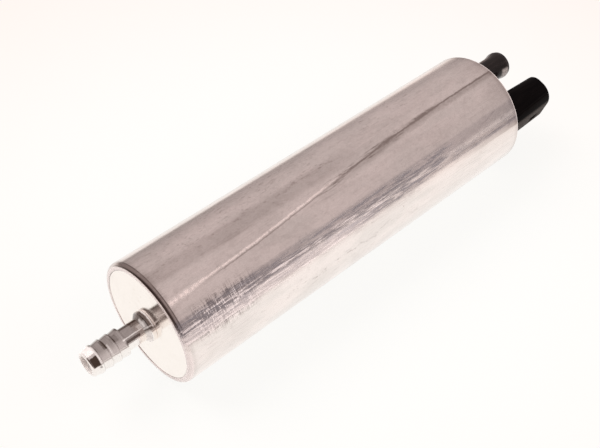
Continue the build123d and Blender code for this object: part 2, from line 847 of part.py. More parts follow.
# Check valve in the stub: seal and poppet on the seat, spring, and the guide behind it
seal_front = valve_seat + rest_gap
poppet_front = seal_front + valve_seal_thickness
poppet_head_back = poppet_front + poppet_head
stem_end = poppet_head_back + poppet_stem_length
guide_station = poppet_head_back + valve_spring_length
poppet_stem_radius = poppet_stem_diameter / 2
with BuildPart() as valve_poppet:
    with BuildSketch(stub_plane):
        with BuildLine():
            Polyline(
                (seal_front, 0),
                (seal_front, valve_seal_spigot / 2),
                (poppet_front, valve_seal_spigot / 2),
                (poppet_front, poppet_diameter / 2),
                (poppet_head_back, poppet_diameter / 2),
                (poppet_head_back, poppet_stem_radius),
                (stem_end, poppet_stem_radius),
                (stem_end, 0),
                close=True,
            )
        make_face()
    revolve(axis=stub_axis)
valve_poppet.part.label = "valve_poppet"

with BuildPart() as valve_seal:
    with BuildSketch(across(seal_front, port_turn)):
        with Locations((port_offset, 0)):
            Circle(poppet_diameter / 2)
            Circle(valve_seal_spigot / 2 + press_gap, mode=Mode.SUBTRACT)
    extrude(amount=valve_seal_thickness)
valve_seal.part.label = "valve_seal"

with BuildPart() as valve_spring:
    with BuildSketch(across(poppet_head_back + rest_gap, port_turn)):
        with Locations((port_offset, 0)):
            RegularPolygon(valve_spring_diameter / 2, 8)
            RegularPolygon(valve_spring_diameter / 2 - spring_wall, 8, mode=Mode.SUBTRACT)
    extrude(amount=valve_spring_length - 2 * rest_gap)
valve_spring.part.label = "valve_spring"

guide_rim_radius = stub_bore / 2 - press_gap
with BuildPart() as valve_guide:
    with BuildSketch(across(guide_station, port_turn)):
        with Locations((port_offset, 0)):
            Circle(guide_rim_radius)
            Circle(guide_rim_radius - valve_guide_rim, mode=Mode.SUBTRACT)
            with PolarLocations(guide_rim_radius / 2, valve_guide_spokes):
                Rectangle(guide_rim_radius, valve_guide_spoke)
            Circle(valve_guide_hub / 2)
            Circle(guide_rim_radius, mode=Mode.INTERSECT)
            Circle(poppet_stem_radius + running_gap, mode=Mode.SUBTRACT)
    extrude(amount=valve_guide_length)
valve_guide.part.label = "valve_guide"

pieces = [
    can, inlet_cover, inlet_nipple, outlet_cover, inlet_seal, outlet_seal, relief_plunger,
    relief_spring, port_plate, pump_ring, inner_rotor, outer_rotor, outlet_plate, front_bush,
    flux_ring, left_magnet, right_magnet, magnet_clips, motor_shaft, armature_core,
    armature_winding, commutator_hub, commutator_bars, thrust_washers, rear_bush, brush_holder,
    upper_brush, lower_brush, upper_brush_spring, lower_brush_spring, choke_cores, choke_coils,
    contact_blades, valve_poppet, valve_seal, valve_spring, valve_guide,
]
for piece in pieces:
    export_step(piece.part, f"parts/{piece.part.label}.step")
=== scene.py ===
"""An in-line electric fuel pump: its looks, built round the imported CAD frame."""

import json
import math

import bmesh
import bpy
from mathutils import Matrix, Vector


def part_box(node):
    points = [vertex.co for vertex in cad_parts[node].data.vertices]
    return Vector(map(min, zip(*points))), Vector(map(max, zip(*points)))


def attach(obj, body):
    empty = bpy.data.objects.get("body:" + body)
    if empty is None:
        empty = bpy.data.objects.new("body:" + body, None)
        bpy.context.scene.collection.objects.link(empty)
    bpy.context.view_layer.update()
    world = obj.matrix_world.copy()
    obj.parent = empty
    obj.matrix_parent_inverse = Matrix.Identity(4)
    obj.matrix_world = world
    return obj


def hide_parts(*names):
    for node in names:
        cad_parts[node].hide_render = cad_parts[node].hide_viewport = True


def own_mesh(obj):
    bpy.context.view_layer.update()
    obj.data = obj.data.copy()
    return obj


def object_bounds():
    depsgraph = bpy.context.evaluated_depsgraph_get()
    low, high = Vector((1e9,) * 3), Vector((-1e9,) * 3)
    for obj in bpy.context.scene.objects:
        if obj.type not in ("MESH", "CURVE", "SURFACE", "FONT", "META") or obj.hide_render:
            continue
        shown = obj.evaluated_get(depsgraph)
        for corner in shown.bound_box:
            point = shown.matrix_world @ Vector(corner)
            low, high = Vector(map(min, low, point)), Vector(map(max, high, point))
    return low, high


bl_info = {
    "name": "In-line fuel pump",
    "version": (1, 0, 0),
    "blender": (4, 5, 0),
    "location": "3D View > Sidebar > Fuel pump",
    "description": "Builds and finishes an in-line electric fuel pump on a pale studio floor",
    "category": "Object",
}

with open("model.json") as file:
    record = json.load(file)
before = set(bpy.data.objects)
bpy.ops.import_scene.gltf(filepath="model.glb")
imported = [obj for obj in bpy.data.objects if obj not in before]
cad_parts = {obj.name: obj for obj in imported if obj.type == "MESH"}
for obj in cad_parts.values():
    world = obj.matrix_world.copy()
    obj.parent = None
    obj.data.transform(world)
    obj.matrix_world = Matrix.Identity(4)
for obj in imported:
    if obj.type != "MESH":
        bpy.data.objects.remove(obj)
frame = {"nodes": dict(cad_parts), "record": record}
cad_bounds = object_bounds()
slots = {entry["node"]: entry["material_slot"] for entry in frame["record"]["subparts"]}

MM = 0.001
TURN = 2 * math.pi
DEGREES = 360 / TURN

# Distances and lengths in millimetres. The hose stub and the plug stand either side of the can's
# axis, on a line turned from level.
CAN_END = 77
BARB_START = 86.4
BARB_PITCH = 3.05
PORT_TURN = math.radians(18.5)
PORT_OFFSET = 9.6
PLUG_HALF = (6.0, 9.1)
PLUG_LENGTH = 25.7
PLUG_MOUTH = 102.35


# Shader maths


class Wire:
    """A shader socket, so that maths on what it carries reads as maths."""

    def __init__(self, finish, socket):
        self.finish = finish
        self.socket = socket

    def math(self, operation, *others):
        values = dict(enumerate((self, *others)))
        return self.finish.node("ShaderNodeMath", {"operation": operation}, values)

    def __add__(self, other):
        return self.math("ADD", other)

    def __sub__(self, other):
        return self.math("SUBTRACT", other)

    def __rsub__(self, other):
        return (self * -1).math("ADD", other)

    def __mul__(self, other):
        return self.math("MULTIPLY", other)

    def __truediv__(self, other):
        return self.math("DIVIDE", other)

    def __neg__(self):
        return self.math("MULTIPLY", -1.0)

    def __abs__(self):
        return self.math("ABSOLUTE")

    __radd__ = __add__
    __rmul__ = __mul__

    def least(self, other):
        return self.math("MINIMUM", other)

    def most(self, other):
        return self.math("MAXIMUM", other)

    def ramp(self, low, high, start=0.0, end=1.0, slope="LINEAR"):
        """Start up to low, end from high, and a slope between them."""
        values = {"Value": self, "From Min": low, "From Max": high, "To Min": start, "To Max": end}
        return self.finish.node("ShaderNodeMapRange", {"interpolation_type": slope}, values)

    def rise(self, low, high):
        """0 up to low, 1 from high, and a soft slope between them."""
        return self.ramp(low, high, slope="SMOOTHSTEP")

    def near(self, middle, width):
        """1 at middle, falling softly to 0 at width on both sides."""
        return 1 - abs(self - middle).rise(0.0, width)

    def between(self, low, high, soft):
        """1 from low to high, falling softly to 0 outside."""
        return self.rise(low - soft, low + soft) * (1 - self.rise(high - soft, high + soft))


class Finish:
    """A material or world tree, and the few kinds of node it is built from."""

    def __init__(self, owner):
        owner.use_nodes = True
        self.owner = owner
        self.tree = owner.node_tree
        self.tree.nodes.clear()

    def node(self, kind, settings=None, values=None, out=0):
        """Adds a node: its settings first, then its sockets, named or counted. Gives one output."""
        made = self.tree.nodes.new(kind)
        for name, value in (settings or {}).items():
            if name == "stops":
                ramp = made.color_ramp
                while len(ramp.elements) < len(value):
                    ramp.elements.new(0.5)
                for element, (place, colour) in zip(ramp.elements, value):
                    element.position = place
                    element.color = (*colour, 1.0)
            else:
                setattr(made, name, value)
        sockets = [socket for socket in made.inputs if socket.enabled]
        for key, value in (values or {}).items():
            if isinstance(key, int):
                socket = sockets[key]
            else:
                socket = next(socket for socket in sockets if socket.name == key)
            if isinstance(value, Wire):
                self.tree.links.new(value.socket, socket)
            elif socket.type == "RGBA" and len(value) == 3:
                socket.default_value = (*value, 1.0)
            else:
                socket.default_value = value
        outputs = [socket for socket in made.outputs if socket.enabled]
        return Wire(self, outputs[out]) if outputs else None

    def parts_of(self, vector):
        """The x, y and z of a vector."""
        first = self.node("ShaderNodeSeparateXYZ", None, {"Vector": vector})
        outputs = first.socket.node.outputs
        return tuple(Wire(self, outputs[index]) for index in range(3))

    def joined(self, x, y, z):
        return self.node("ShaderNodeCombineXYZ", None, {"X": x, "Y": y, "Z": z})

    def turn_of(self, y, z):
        """The turn about X in degrees, from the top towards -Y."""
        return (-y).math("ARCTAN2", z) * DEGREES

    def radius_of(self, y, z):
        return (y * y + z * z).math("SQRT")

    def stretched(self, vector, factors):
        """A vector with its parts multiplied by one number or by three, per millimetre."""
        three = factors if isinstance(factors, tuple) else (factors,) * 3
        scale = tuple(factor / MM for factor in three)
        return self.node("ShaderNodeVectorMath", {"operation": "MULTIPLY"}, {0: vector, 1: scale})

    def noise(self, vector, factors, detail, rough=0.55, bend=0.0):
        """Cloud noise from 0 to 1, its cells counted per millimetre, along X, Y and Z or alike."""
        values = {
            "Vector": self.stretched(vector, factors),
            "Scale": 1.0,
            "Detail": detail,
            "Roughness": rough,
            "Distortion": bend,
        }
        return self.node("ShaderNodeTexNoise", None, values)

    def cells(self, vector, factors, feature="F1"):
        """Distance to scattered points or to the edges between them, counted per millimetre."""
        values = {"Vector": self.stretched(vector, factors), "Scale": 1.0}
        return self.node("ShaderNodeTexVoronoi", {"feature": feature}, values)

    def mix(self, amount, first, second):
        """The second colour over the first by an amount."""
        values = {"Factor": amount, "A": first, "B": second}
        return self.node("ShaderNodeMix", {"data_type": "RGBA"}, values)

    def bump(self, height, depth):
        """A normal from a height of about 0 to 1 and a depth in millimetres."""
        values = {"Height": height, "Distance": depth * MM, "Strength": 1.0}
        return self.node("ShaderNodeBump", None, values)

    def surface(self, changing, fixed=None):
        """Ends the tree in one shader, with what changes over the surface and what is fixed."""
        shader = self.node("ShaderNodeBsdfPrincipled", None, {**changing, **(fixed or {})})
        self.node("ShaderNodeOutputMaterial", None, {"Surface": shader})
        return self.owner


def new_finish(name):
    """A new material's tree, and its object coordinates in metres."""
    finish = Finish(bpy.data.materials.new(name))
    return finish, finish.node("ShaderNodeTexCoord", out=3)


# Finishes of the outside. Marks stand at stations along X in millimetres and at turns about X in
# degrees, as the photograph shows them.


def crease_and_reflection_marks(f, spot, along, turn, broken):
    """The long slanted crease, a scratch with painted reflection and painted shade along it, pale
    at the near end: how dark, soft, edged and pale it is.
    """
    middle = 33 - along.ramp(-77, -40, 0, 4.5) - along.ramp(-40, 20, 0, 12.5)
    middle = middle - along.ramp(20, 42, 0, 2.5) - along.ramp(42, 77, 0, 1.0)
    ragged = (f.noise(spot, (0.5, 0.3, 0.3), 4.0, 0.7) - 0.5) * 2.2
    off = turn - middle + ragged
    far_half = along.rise(-16, 4)
    heavy = along.near(20, 8).most(along.near(39, 13))
    frayed = f.noise(spot, (0.28, 1.2, 1.2), 5.0, 0.75).rise(0.36, 0.56)
    threads = f.noise(spot, (0.16, 2.4, 2.4), 4.0, 0.7).rise(0.50, 0.60)
    dark = off.near(0.9, 1.4) * far_half * (0.4 + 0.5 * frayed)
    dark = dark.most(off.near(0.3, 3.4) * heavy * (0.35 + 0.65 * frayed))
    dark = dark.most(off.between(-2.6, 4.0, 0.8) * along.between(-12, 30, 4) * threads * 0.7)
    # Painted shade beside the crease, over its far half
    soft = off.between(0.5, 6.0, 2.2) * along.rise(-10, 16)
    # A painted reflection edge along the crease, towards the near end
    edge = off.near(1.6, 1.0) * (1 - along.rise(-20, 0)) * along.rise(-64, -50)
    at_rim = 1 - along.rise(-68, -58)
    dotted = f.noise(spot, (0.9, 0.6, 0.6), 4.0, 0.7).rise(0.42, 0.56)
    strength = (0.08 + 0.42 * broken) * (1 - at_rim) + (0.22 + 0.38 * dotted) * at_rim
    # Pale over the near half: the scratch with a painted reflection in it
    pale = off.near(-0.5, 1.5 + 1.9 * at_rim) * (1 - far_half) * strength
    return dark, soft, edge, pale * along.rise(-75.3, -74.9)


def rub_and_reflection_marks(f, spot, along, turn, strands):
    """Rub marks along the lower side and a weave of scuffs at the inlet end, with painted shade and
    a painted reflection of the floor at the lower side's pale edge: four dark, one pale.
    """
    torn = f.noise(spot, (0.10, 1.7, 1.7), 5.0, 0.75)
    torn_dark = torn.rise(0.46, 0.58)
    torn_pale = 1 - torn.rise(0.40, 0.50)
    low_zone = turn.between(49, 67, 2.5) * (1 - along.rise(34, 50))
    low = (low_zone * torn_dark).least(1.0)
    # Dark streaks at the lower side's pale edge: rub marks and painted shade
    far = turn.between(60, 68, 2.0) * along.between(-16, 78, 9) * torn_dark
    ravelled = (turn + (strands - 0.5) * 14).between(65, 73, 1.5) * along.ramp(38, 74)
    cross = f.noise(spot, (2.3, 0.22, 0.22), 5.0, 0.8, 0.3) * 0.55
    weave = cross + f.noise(spot, (0.18, 2.2, 2.2), 4.0, 0.75) * 0.45
    weave_zone = turn.between(44, 72, 5.0) * along.between(-71, -50, 5)
    scuffs = weave.rise(0.495, 0.545) * weave_zone
    # Pale streaks low down and at the pale edge: rub marks and a painted reflection of the floor
    low_rub_and_reflection = low_zone * turn.rise(52, 57) * torn_pale * (1 - along.rise(-12, 30) * 0.7)
    edge_rub_and_reflection = (turn + (torn - 0.5) * 16).between(60.5, 69, 1.2) * (1 - along.rise(-16, 14))
    edge_rub_and_reflection = edge_rub_and_reflection * (0.45 + 0.55 * torn_pale)
    pale_weave = (1 - weave.rise(0.42, 0.48)) * weave_zone * turn.between(50, 76, 5.0)
    return low, far, ravelled, scuffs, (low_rub_and_reflection * 0.9).most(edge_rub_and_reflection) + pale_weave


def can_finish(colours):
    """Drawn aluminium, scuffed and dull, with lengthwise lines, scratches, rub marks and grime, and
    with painted shade and painted reflections of the floor.
    """
    f, spot = new_finish("can_aluminium")
    x, y, z = f.parts_of(spot)
    along = x / MM
    turn = f.turn_of(y, z)
    wobble = (f.noise(spot, (0.03, 0.06, 0.06), 2.0) - 0.5) * 3.0

    drawn = f.noise(spot, (0.015, 2.6, 2.6), 5.0, 0.7)
    strands = f.noise(spot, (0.05, 1.1, 1.1), 4.0, 0.65)
    clouds = f.noise(spot, (0.045, 0.12, 0.12), 4.0, 0.6, 0.4)
    grain = f.noise(spot, (1.3, 2.2, 2.2), 3.0, 0.6)
    mottle = f.noise(spot, (0.45, 0.5, 0.5), 4.0, 0.7, 0.6).rise(0.42, 0.66)
    broken = f.noise(spot, (0.35, 0.1, 0.1), 4.0, 0.7).rise(0.34, 0.5)
    smudges = f.noise(spot, (0.22, 0.5, 0.5), 5.0, 0.7, 0.6).rise(0.55, 0.72)
    tint = f.noise(spot, (0.045, 0.16, 0.16), 4.0, 0.6)
    # The crease: a scratch, with painted shade and painted reflections along it
    crease_scratch_and_shade, crease_painted_shade, crease_reflection_edge, pale_crease_and_reflection = crease_and_reflection_marks(f, spot, along, turn, broken)
    # The rub marks carry painted shade and a painted reflection of the floor as well
    rub_low, far_rub_and_shade, ravelled, scuffs, rub_and_reflection_pale = rub_and_reflection_marks(f, spot, along, turn, strands)

    # Fine scratches in both directions, pits and specks
    scratch_a = f.cells(f.joined(x + 0.35 * z, y, z), (0.016, 0.9, 0.9), "DISTANCE_TO_EDGE")
    scratch_b = f.cells(f.joined(x - 0.6 * y, y, z), (0.05, 0.22, 0.22), "DISTANCE_TO_EDGE")
    scratches = (1 - scratch_a.rise(0.0, 0.035)) * clouds.rise(0.42, 0.6)
    nicks = (1 - scratch_b.rise(0.0, 0.012)) * smudges
    pits = 1 - f.cells(spot, 0.11).rise(0.02, 0.045)
    spots = f.noise(spot, (0.35, 0.9, 0.9), 4.0, 0.75).rise(0.56, 0.64)
    specks = spots * (turn + wobble * 0.6).between(84, 90, 1.5) * along.between(-40, 12, 5)
    specks = specks.most(spots * turn.between(-26, -4, 4.0) * along.between(14, 46, 5) * 0.9)
    specks = specks.most(spots * turn.between(-28, 6, 4.0) * along.between(-74, 2, 6) * 0.8)

    # The rims: grime, and at the near one two dark lines with a band of painted shade between them
    # on the upper side, and a painted reflection of the floor low down
    rim_grime = 1 - (CAN_END - abs(along)).rise(1.2, 3.4)
    rim_turn = turn.between(-38, 56, 9)
    rim_painted_shade = along.between(-76.8, -75.3, 0.08) * rim_turn
    back_line = along.between(-75.62, -75.38, 0.05) * broken * 0.8
    rim_line = along.between(-76.86, -76.58, 0.05).most(back_line) * rim_turn
    rim_painted_reflection = (1 - along.rise(-76.2, -75.2)) * turn.rise(62, 84) * 0.8
    edges = along.near(76.25, 0.55).most(1 - along.rise(-76.92, -76.86))
    edge_wear = edges * (0.6 + 0.4 * grain.rise(0.3, 0.6))

    skin = (
        0.04 * strands.rise(0.35, 0.75)
        + 0.03 * drawn.rise(0.4, 0.7)
        + 0.11 * clouds.rise(0.4, 0.75)
        + 0.10 * mottle
        + 0.07 * grain.rise(0.4, 0.65)
    )
    dark = (
        skin * (1 - 0.6 * turn.rise(66, 74))
        + 0.50 * rim_painted_shade
        + 0.60 * rub_low
        + 0.45 * far_rub_and_shade
        + 0.50 * ravelled
        # Painted shade: a soft dark band round one turn near the top, all along the can
        + 0.30 * turn.near(-30, 5) * (0.4 + 0.6 * smudges + 0.4 * grain)
        + 0.80 * scuffs
        + 0.17 * smudges
        + 0.14 * scratches
        + 0.20 * nicks
        + 0.40 * pits
        # The crease: its dark line, painted shade beside it and a painted reflection edge
        + 1.0 * crease_scratch_and_shade
        + 0.34 * crease_painted_shade
        + 0.50 * crease_reflection_edge
        # Broad bands of painted shade, at given stations and turns
        + 0.24 * (turn + wobble).between(0, 15, 3.0) * (1 - along.rise(-10, 22))
        + 0.10 * (turn + wobble).between(-24, -12, 4.0) * (1 - along.rise(-30, 0))
        + (0.20 + 0.16 * (1 - along.rise(-46, -30))) * (turn + wobble * 0.4).between(47.5, 60, 1.6)
        + 0.22 * rim_grime
        + 0.16 * (along + wobble * 1.5).rise(62, 76) * (1 - turn.rise(70, 80))
        + 0.10 * along.between(-9.5, 9.5, 1.2) * turn.rise(95, 101)
        + 0.35 * specks
    ).least(0.9)
    # Pale: rub marks and worn edges, with painted reflections of the floor
    pale = (rub_and_reflection_pale + edge_wear + rim_painted_reflection).least(1.0)

    bare = f.mix(tint.rise(0.38, 0.62), colours.can, colours.can_drift)
    # The darks for grime, rub marks and painted shade: one in the lower rub zone, one elsewhere
    grime = f.mix(turn.between(46, 70, 4), colours.can_grime_and_shade, colours.rub_grime_and_shade)
    lined = f.mix(rim_line * (0.5 + 0.35 * broken), f.mix(dark, bare, grime), colours.rim_line)
    lightened = f.mix(pale * 0.8, lined, colours.can_pale_and_reflection)
    height = (
        drawn * 0.3 + strands * 0.12 + grain * 0.3 + mottle * 0.15
        - scratches * 0.5 - nicks - pits * 1.5
    )
    return f.surface({
        "Base Color": f.mix(pale_crease_and_reflection, lightened, colours.pale_crease_and_reflection),
        "Roughness": 0.13 + 0.06 * strands + 0.06 * clouds + 0.16 * rub_low + 0.18 * scuffs
        + 0.08 * smudges,
        "Metallic": 1 - (
            0.35 * (rub_low + far_rub_and_shade + pits) + 0.75 * (pale + pale_crease_and_reflection)
        ).least(1.0),
        "Normal": f.bump(height, 0.012),
    })


def turned_face_finish(name, base, grime, rough, rings=9.0):
    """Metal turned on a lathe: fine rings about X, satin, with light handling marks."""
    f, spot = new_finish(name)
    x, y, z = f.parts_of(spot)
    radius = f.radius_of(y, z) / MM
    ring = f.noise(f.joined(radius * MM, x, 0.0), (rings, rings, 1.0), 4.0, 0.7)
    clouds = f.noise(spot, 0.14, 4.0, 0.6, 0.3)
    swirl = f.noise(spot, 0.5, 5.0, 0.7, 1.2).rise(0.56, 0.7)
    nicks = 1 - f.cells(spot, 0.3).rise(0.04, 0.09)
    dark = 0.15 * ring.rise(0.4, 0.7) + 0.2 * clouds.rise(0.45, 0.75) + 0.2 * swirl + 0.4 * nicks
    return f.surface({
        "Base Color": f.mix(dark.least(1.0), base, grime),
        "Roughness": rough + 0.3 * rough * (ring + clouds) + 0.06 * swirl,
        "Metallic": 1 - 0.25 * nicks,
        "Normal": f.bump(ring * 0.6 - nicks + swirl * 0.15, 0.006),
    })


# Painted shade and painted highlights on the hose nipple: station from and to, turn from and to,
# and how strong
NIPPLE_SHADE = (
    (-87.2, -79.8, -36, -14, 0.34),
    (-82.6, -79.8, -30, 4, 0.22),
    (-87.0, -81.4, 47, 61, 0.36),
    (-93.4, -92.3, -18, 26, 0.40),
    (-90.4, -88.0, -8, 24, 0.16),
    (-98.7, -96.4, 25, 66, 1.00),
    (-97.0, -96.3, 70, 78, 0.60),
    (-78.6, -77.2, -24, 42, 0.30),
    (-79.9, -78.5, -60, 14, 0.35),
    (-79.8, -77.2, 48, 55, 0.40),
)
NIPPLE_HIGHLIGHTS = (
    (-87.4, -79.8, 33.0, 38.0, 0.85),
    (-81.3, -79.8, 12, 32, 0.40),
    (-79.5, -79.0, -6, 38, 0.60),
    (-77.35, -76.5, -64, 52, 1.00),
    (-79.8, -77.4, 42.5, 46.5, 0.60),
    (-92.1, -91.6, 12, 66, 0.45),
    (-96.4, -95.8, -20, 62, 0.50),
    (-99.4, -96.4, -110, 14, 0.85),
)


def nipple_finish(colours):
    """Turned steel, streaked and stained, with painted shade above and behind each crest, and
    painted highlights below, on the crests and in the bore.
    """
    f, spot = new_finish("nipple_steel")
    x, y, z = f.parts_of(spot)
    along = x / MM
    radius = f.radius_of(y, z) / MM
    sway = f.noise(spot, (0.5, 0.9, 0.9), 4.0, 0.7) - 0.5
    turn = f.turn_of(y, z) + sway * 9
    station = along + sway * 0.5

    def marks(table):
        parts = [
            station.between(low, high, 0.2) * turn.between(first, last, 2.5) * amount
            for low, high, first, last, amount in table
        ]
        return sum(parts[1:], parts[0])

    ring = f.noise(f.joined(x, y * 0.03, z * 0.03), (5.0, 1.0, 1.0), 4.0, 0.7)
    streaks = f.noise(spot, (0.12, 2.6, 2.6), 4.0, 0.7)
    clouds = f.noise(spot, 0.35, 4.0, 0.6, 0.5)
    stain = f.noise(spot, 0.9, 4.0, 0.7).rise(0.55, 0.7)
    barbs = 1 - along.rise(-87.2, -86.2)
    nose = 1 - along.rise(-96.4, -95.9)
    past_crest = ((along + BARB_START) / BARB_PITCH).math("FRACT")
    # Painted shade in the groove behind each crest
    groove = abs(past_crest - 0.5).rise(0.38, 0.46) * barbs * (1 - nose) * clouds.rise(0.35, 0.6)
    # Painted highlights along the crests
    crest = past_crest.between(0.72, 0.86, 0.05) * barbs * streaks.rise(0.4, 0.6)
    # The bore near the tip painted pale: a painted highlight
    bore = (1 - radius.rise(3.15, 3.35)) * (1 - along.rise(-97, -92))
    cone = along.between(-79.85, -78.45, 0.1)
    # Painted shade over the upper side of the stem and the barbs
    stem_shade = turn.between(-125, 62, 5) * (1 - barbs) * (0.42 + 0.16 * streaks)
    barbs_shade = turn.between(-125, 36, 20) * barbs * (1 - nose) * (0.38 + 0.20 * clouds)
    dark = stem_shade + barbs_shade + 0.16 * ring.rise(0.45, 0.7) + 0.14 * stain + 0.35 * groove
    dark = (dark + marks(NIPPLE_SHADE)).least(1.0)
    pale = (marks(NIPPLE_HIGHLIGHTS) + crest * 0.2 + bore).least(1.0)
    steel = f.mix(dark, colours.nipple, colours.nipple_stain_and_shade)
    return f.surface({
        "Base Color": f.mix(pale, steel, colours.nipple_highlight),
        "Roughness": 0.07 + 0.04 * ring + 0.04 * clouds + 0.08 * stain + 0.06 * barbs + 0.3 * bore,
        "Metallic": 1 - (0.2 * stain + 0.8 * pale + 0.8 * cone).least(1.0),
        "Normal": f.bump(ring + clouds * 0.3 + streaks * 0.3, 0.008),
    })


def flat_side_sheen(f, spot, colour, lightened):
    """The plug's flat outer side, with a painted grey sheen."""
    x, y, z = f.parts_of(spot)
    across = (y * math.cos(PORT_TURN) + z * math.sin(PORT_TURN)) / MM
    draft = 0.0314
    depth = across + (PORT_OFFSET + PLUG_HALF[0]) + (PLUG_MOUTH - x / MM) * draft
    # Noise that breaks up the painted sheen
    worn = f.noise(spot, (0.1, 0.5, 0.5), 4.0, 0.7)
    return f.mix((1 - depth.rise(0.02, 0.45)) * (0.65 + 0.5 * worn), colour, lightened)


def stub_sheen_marks(f, spot, colour, lightened, crest_highlight_tone):
    """The hose stub, with a painted sheen along its upper side and a painted highlight on one side
    of its crest.
    """
    x, y, z = f.parts_of(spot)
    station = x / MM
    side = y / MM - PORT_OFFSET * math.cos(PORT_TURN)
    up = z / MM - PORT_OFFSET * math.sin(PORT_TURN)
    turn = f.turn_of(side, up)
    radius = f.radius_of(side, up)
    outside = (1 - radius.rise(5.6, 6.2)) * radius.rise(3.9, 4.3)
    # Noise that breaks up the painted sheen and the painted highlight
    worn = f.noise(spot, (0.2, 0.9, 0.9), 4.0, 0.7)
    upper = turn.between(-75, -22, 9) * (1 - station.rise(96, 101)) * outside * (0.5 + 0.6 * worn)
    crest = turn.between(70, 126, 8) * station.between(98.6, 101.4, 0.5)
    crest = crest * outside * (0.5 + 0.8 * worn)
    return f.mix(crest.least(0.9), f.mix(upper, colour, lightened), crest_highlight_tone)


def plastic_finish(name, base, worn, shine, gloss=0.5, coat=0.0, sheen_marks=None, lightened=()):
    """Moulded plastic: spark-eroded grain and scuffs, and the painted sheen and highlights that it
    is given, in the colours given for them.
    """
    f, spot = new_finish(name)
    skin = f.noise(spot, 1.6, 3.0, 0.6)
    clouds = f.noise(spot, 0.12, 4.0, 0.6, 0.3)
    flow = f.noise(spot, (0.08, 0.5, 0.5), 3.0, 0.6, 0.8)
    scuff = f.noise(spot, (0.5, 1.2, 1.2), 5.0, 0.75).rise(0.58, 0.72) * clouds.rise(0.45, 0.65)
    dust = f.noise(spot, 4.0, 2.0).rise(0.66, 0.74)
    wear = (0.2 * flow.rise(0.4, 0.7) + 0.5 * scuff + 0.3 * dust).least(1.0)
    colour = f.mix(wear, base, worn)
    changing = {
        # Painted sheen and highlights, on the pieces that are given them
        "Base Color": sheen_marks(f, spot, colour, *lightened) if sheen_marks else colour,
        "Roughness": shine + 0.06 * clouds + 0.06 * skin + 0.18 * scuff,
        "Normal": f.bump(skin + flow * 0.3 - scuff * 0.5, 0.008),
    }
    if coat:
        changing["Coat Weight"] = coat * (0.7 + 0.6 * clouds)
    return f.surface(changing, {"Specular IOR Level": gloss, "Coat Roughness": 0.12})


# Finishes of the inside


def ground_finish(name, base, grime, stretch, rough=0.28):
    """Ground or rolled metal: fine lines one way, soft stains and small pits."""
    f, spot = new_finish(name)
    lines = f.noise(spot, stretch, 4.0, 0.7)
    stains = f.noise(spot, 0.15, 4.0, 0.6, 0.5)
    pits = 1 - f.cells(spot, 0.5).rise(0.05, 0.1)
    dark = (0.3 * lines.rise(0.4, 0.7) + 0.3 * stains.rise(0.45, 0.7) + 0.4 * pits).least(1.0)
    return f.surface({
        "Base Color": f.mix(dark, base, grime),
        "Roughness": rough + 0.14 * lines + 0.12 * stains,
        "Metallic": 1 - 0.3 * pits,
        "Normal": f.bump(lines - pits, 0.008),
    })


def grainy_finish(name, base, specks, metal, rough, grain=1.2, depth=0.03):
    """Pressed or sintered stuff: open pores, specks of a second colour and a dull skin."""
    f, spot = new_finish(name)
    pores = 1 - f.cells(spot, grain).rise(0.1, 0.35)
    clouds = f.noise(spot, 0.2, 4.0, 0.6)
    speck = f.noise(spot, grain * 2, 3.0, 0.6).rise(0.55, 0.68)
    return f.surface({
        "Base Color": f.mix((0.5 * speck + 0.3 * clouds + 0.2 * pores).least(1.0), base, specks),
        "Roughness": rough + 0.15 * pores + 0.1 * clouds,
        "Metallic": metal * (1 - 0.3 * pores),
        "Normal": f.bump(clouds * 0.3 - pores, depth),
    })


def wound_finish(name, base, shadow):
    """Enamelled copper wire, wound about X: rounded turns with dark gaps between."""
    f, spot = new_finish(name)
    x = f.parts_of(spot)[0]
    pitch = 0.55
    sway = f.noise(spot, 0.3, 3.0) * 0.6
    wave = ((x / MM / pitch + sway) * TURN).math("SINE") * 0.5 + 0.5
    clouds = f.noise(spot, 0.25, 4.0, 0.6)
    gap = 1 - wave.rise(0.05, 0.45)
    return f.surface({
        "Base Color": f.mix((0.8 * gap + 0.25 * clouds).least(1.0), base, shadow),
        "Roughness": 0.22 + 0.2 * gap + 0.1 * clouds,
        "Metallic": 0.9 - 0.5 * gap,
        "Normal": f.bump(wave, 0.12),
    })


def rubber_finish(name, base, bloom):
    """Seal rubber: matt, with a faint bloom and fine mould texture."""
    f, spot = new_finish(name)
    skin = f.noise(spot, 2.5, 3.0, 0.6)
    cloud = f.noise(spot, 0.3, 4.0, 0.6, 0.4)
    return f.surface({
        "Base Color": f.mix(cloud.rise(0.45, 0.75) * 0.5, base, bloom),
        "Roughness": 0.5 + 0.15 * skin + 0.1 * cloud,
        "Normal": f.bump(skin, 0.02),
    })


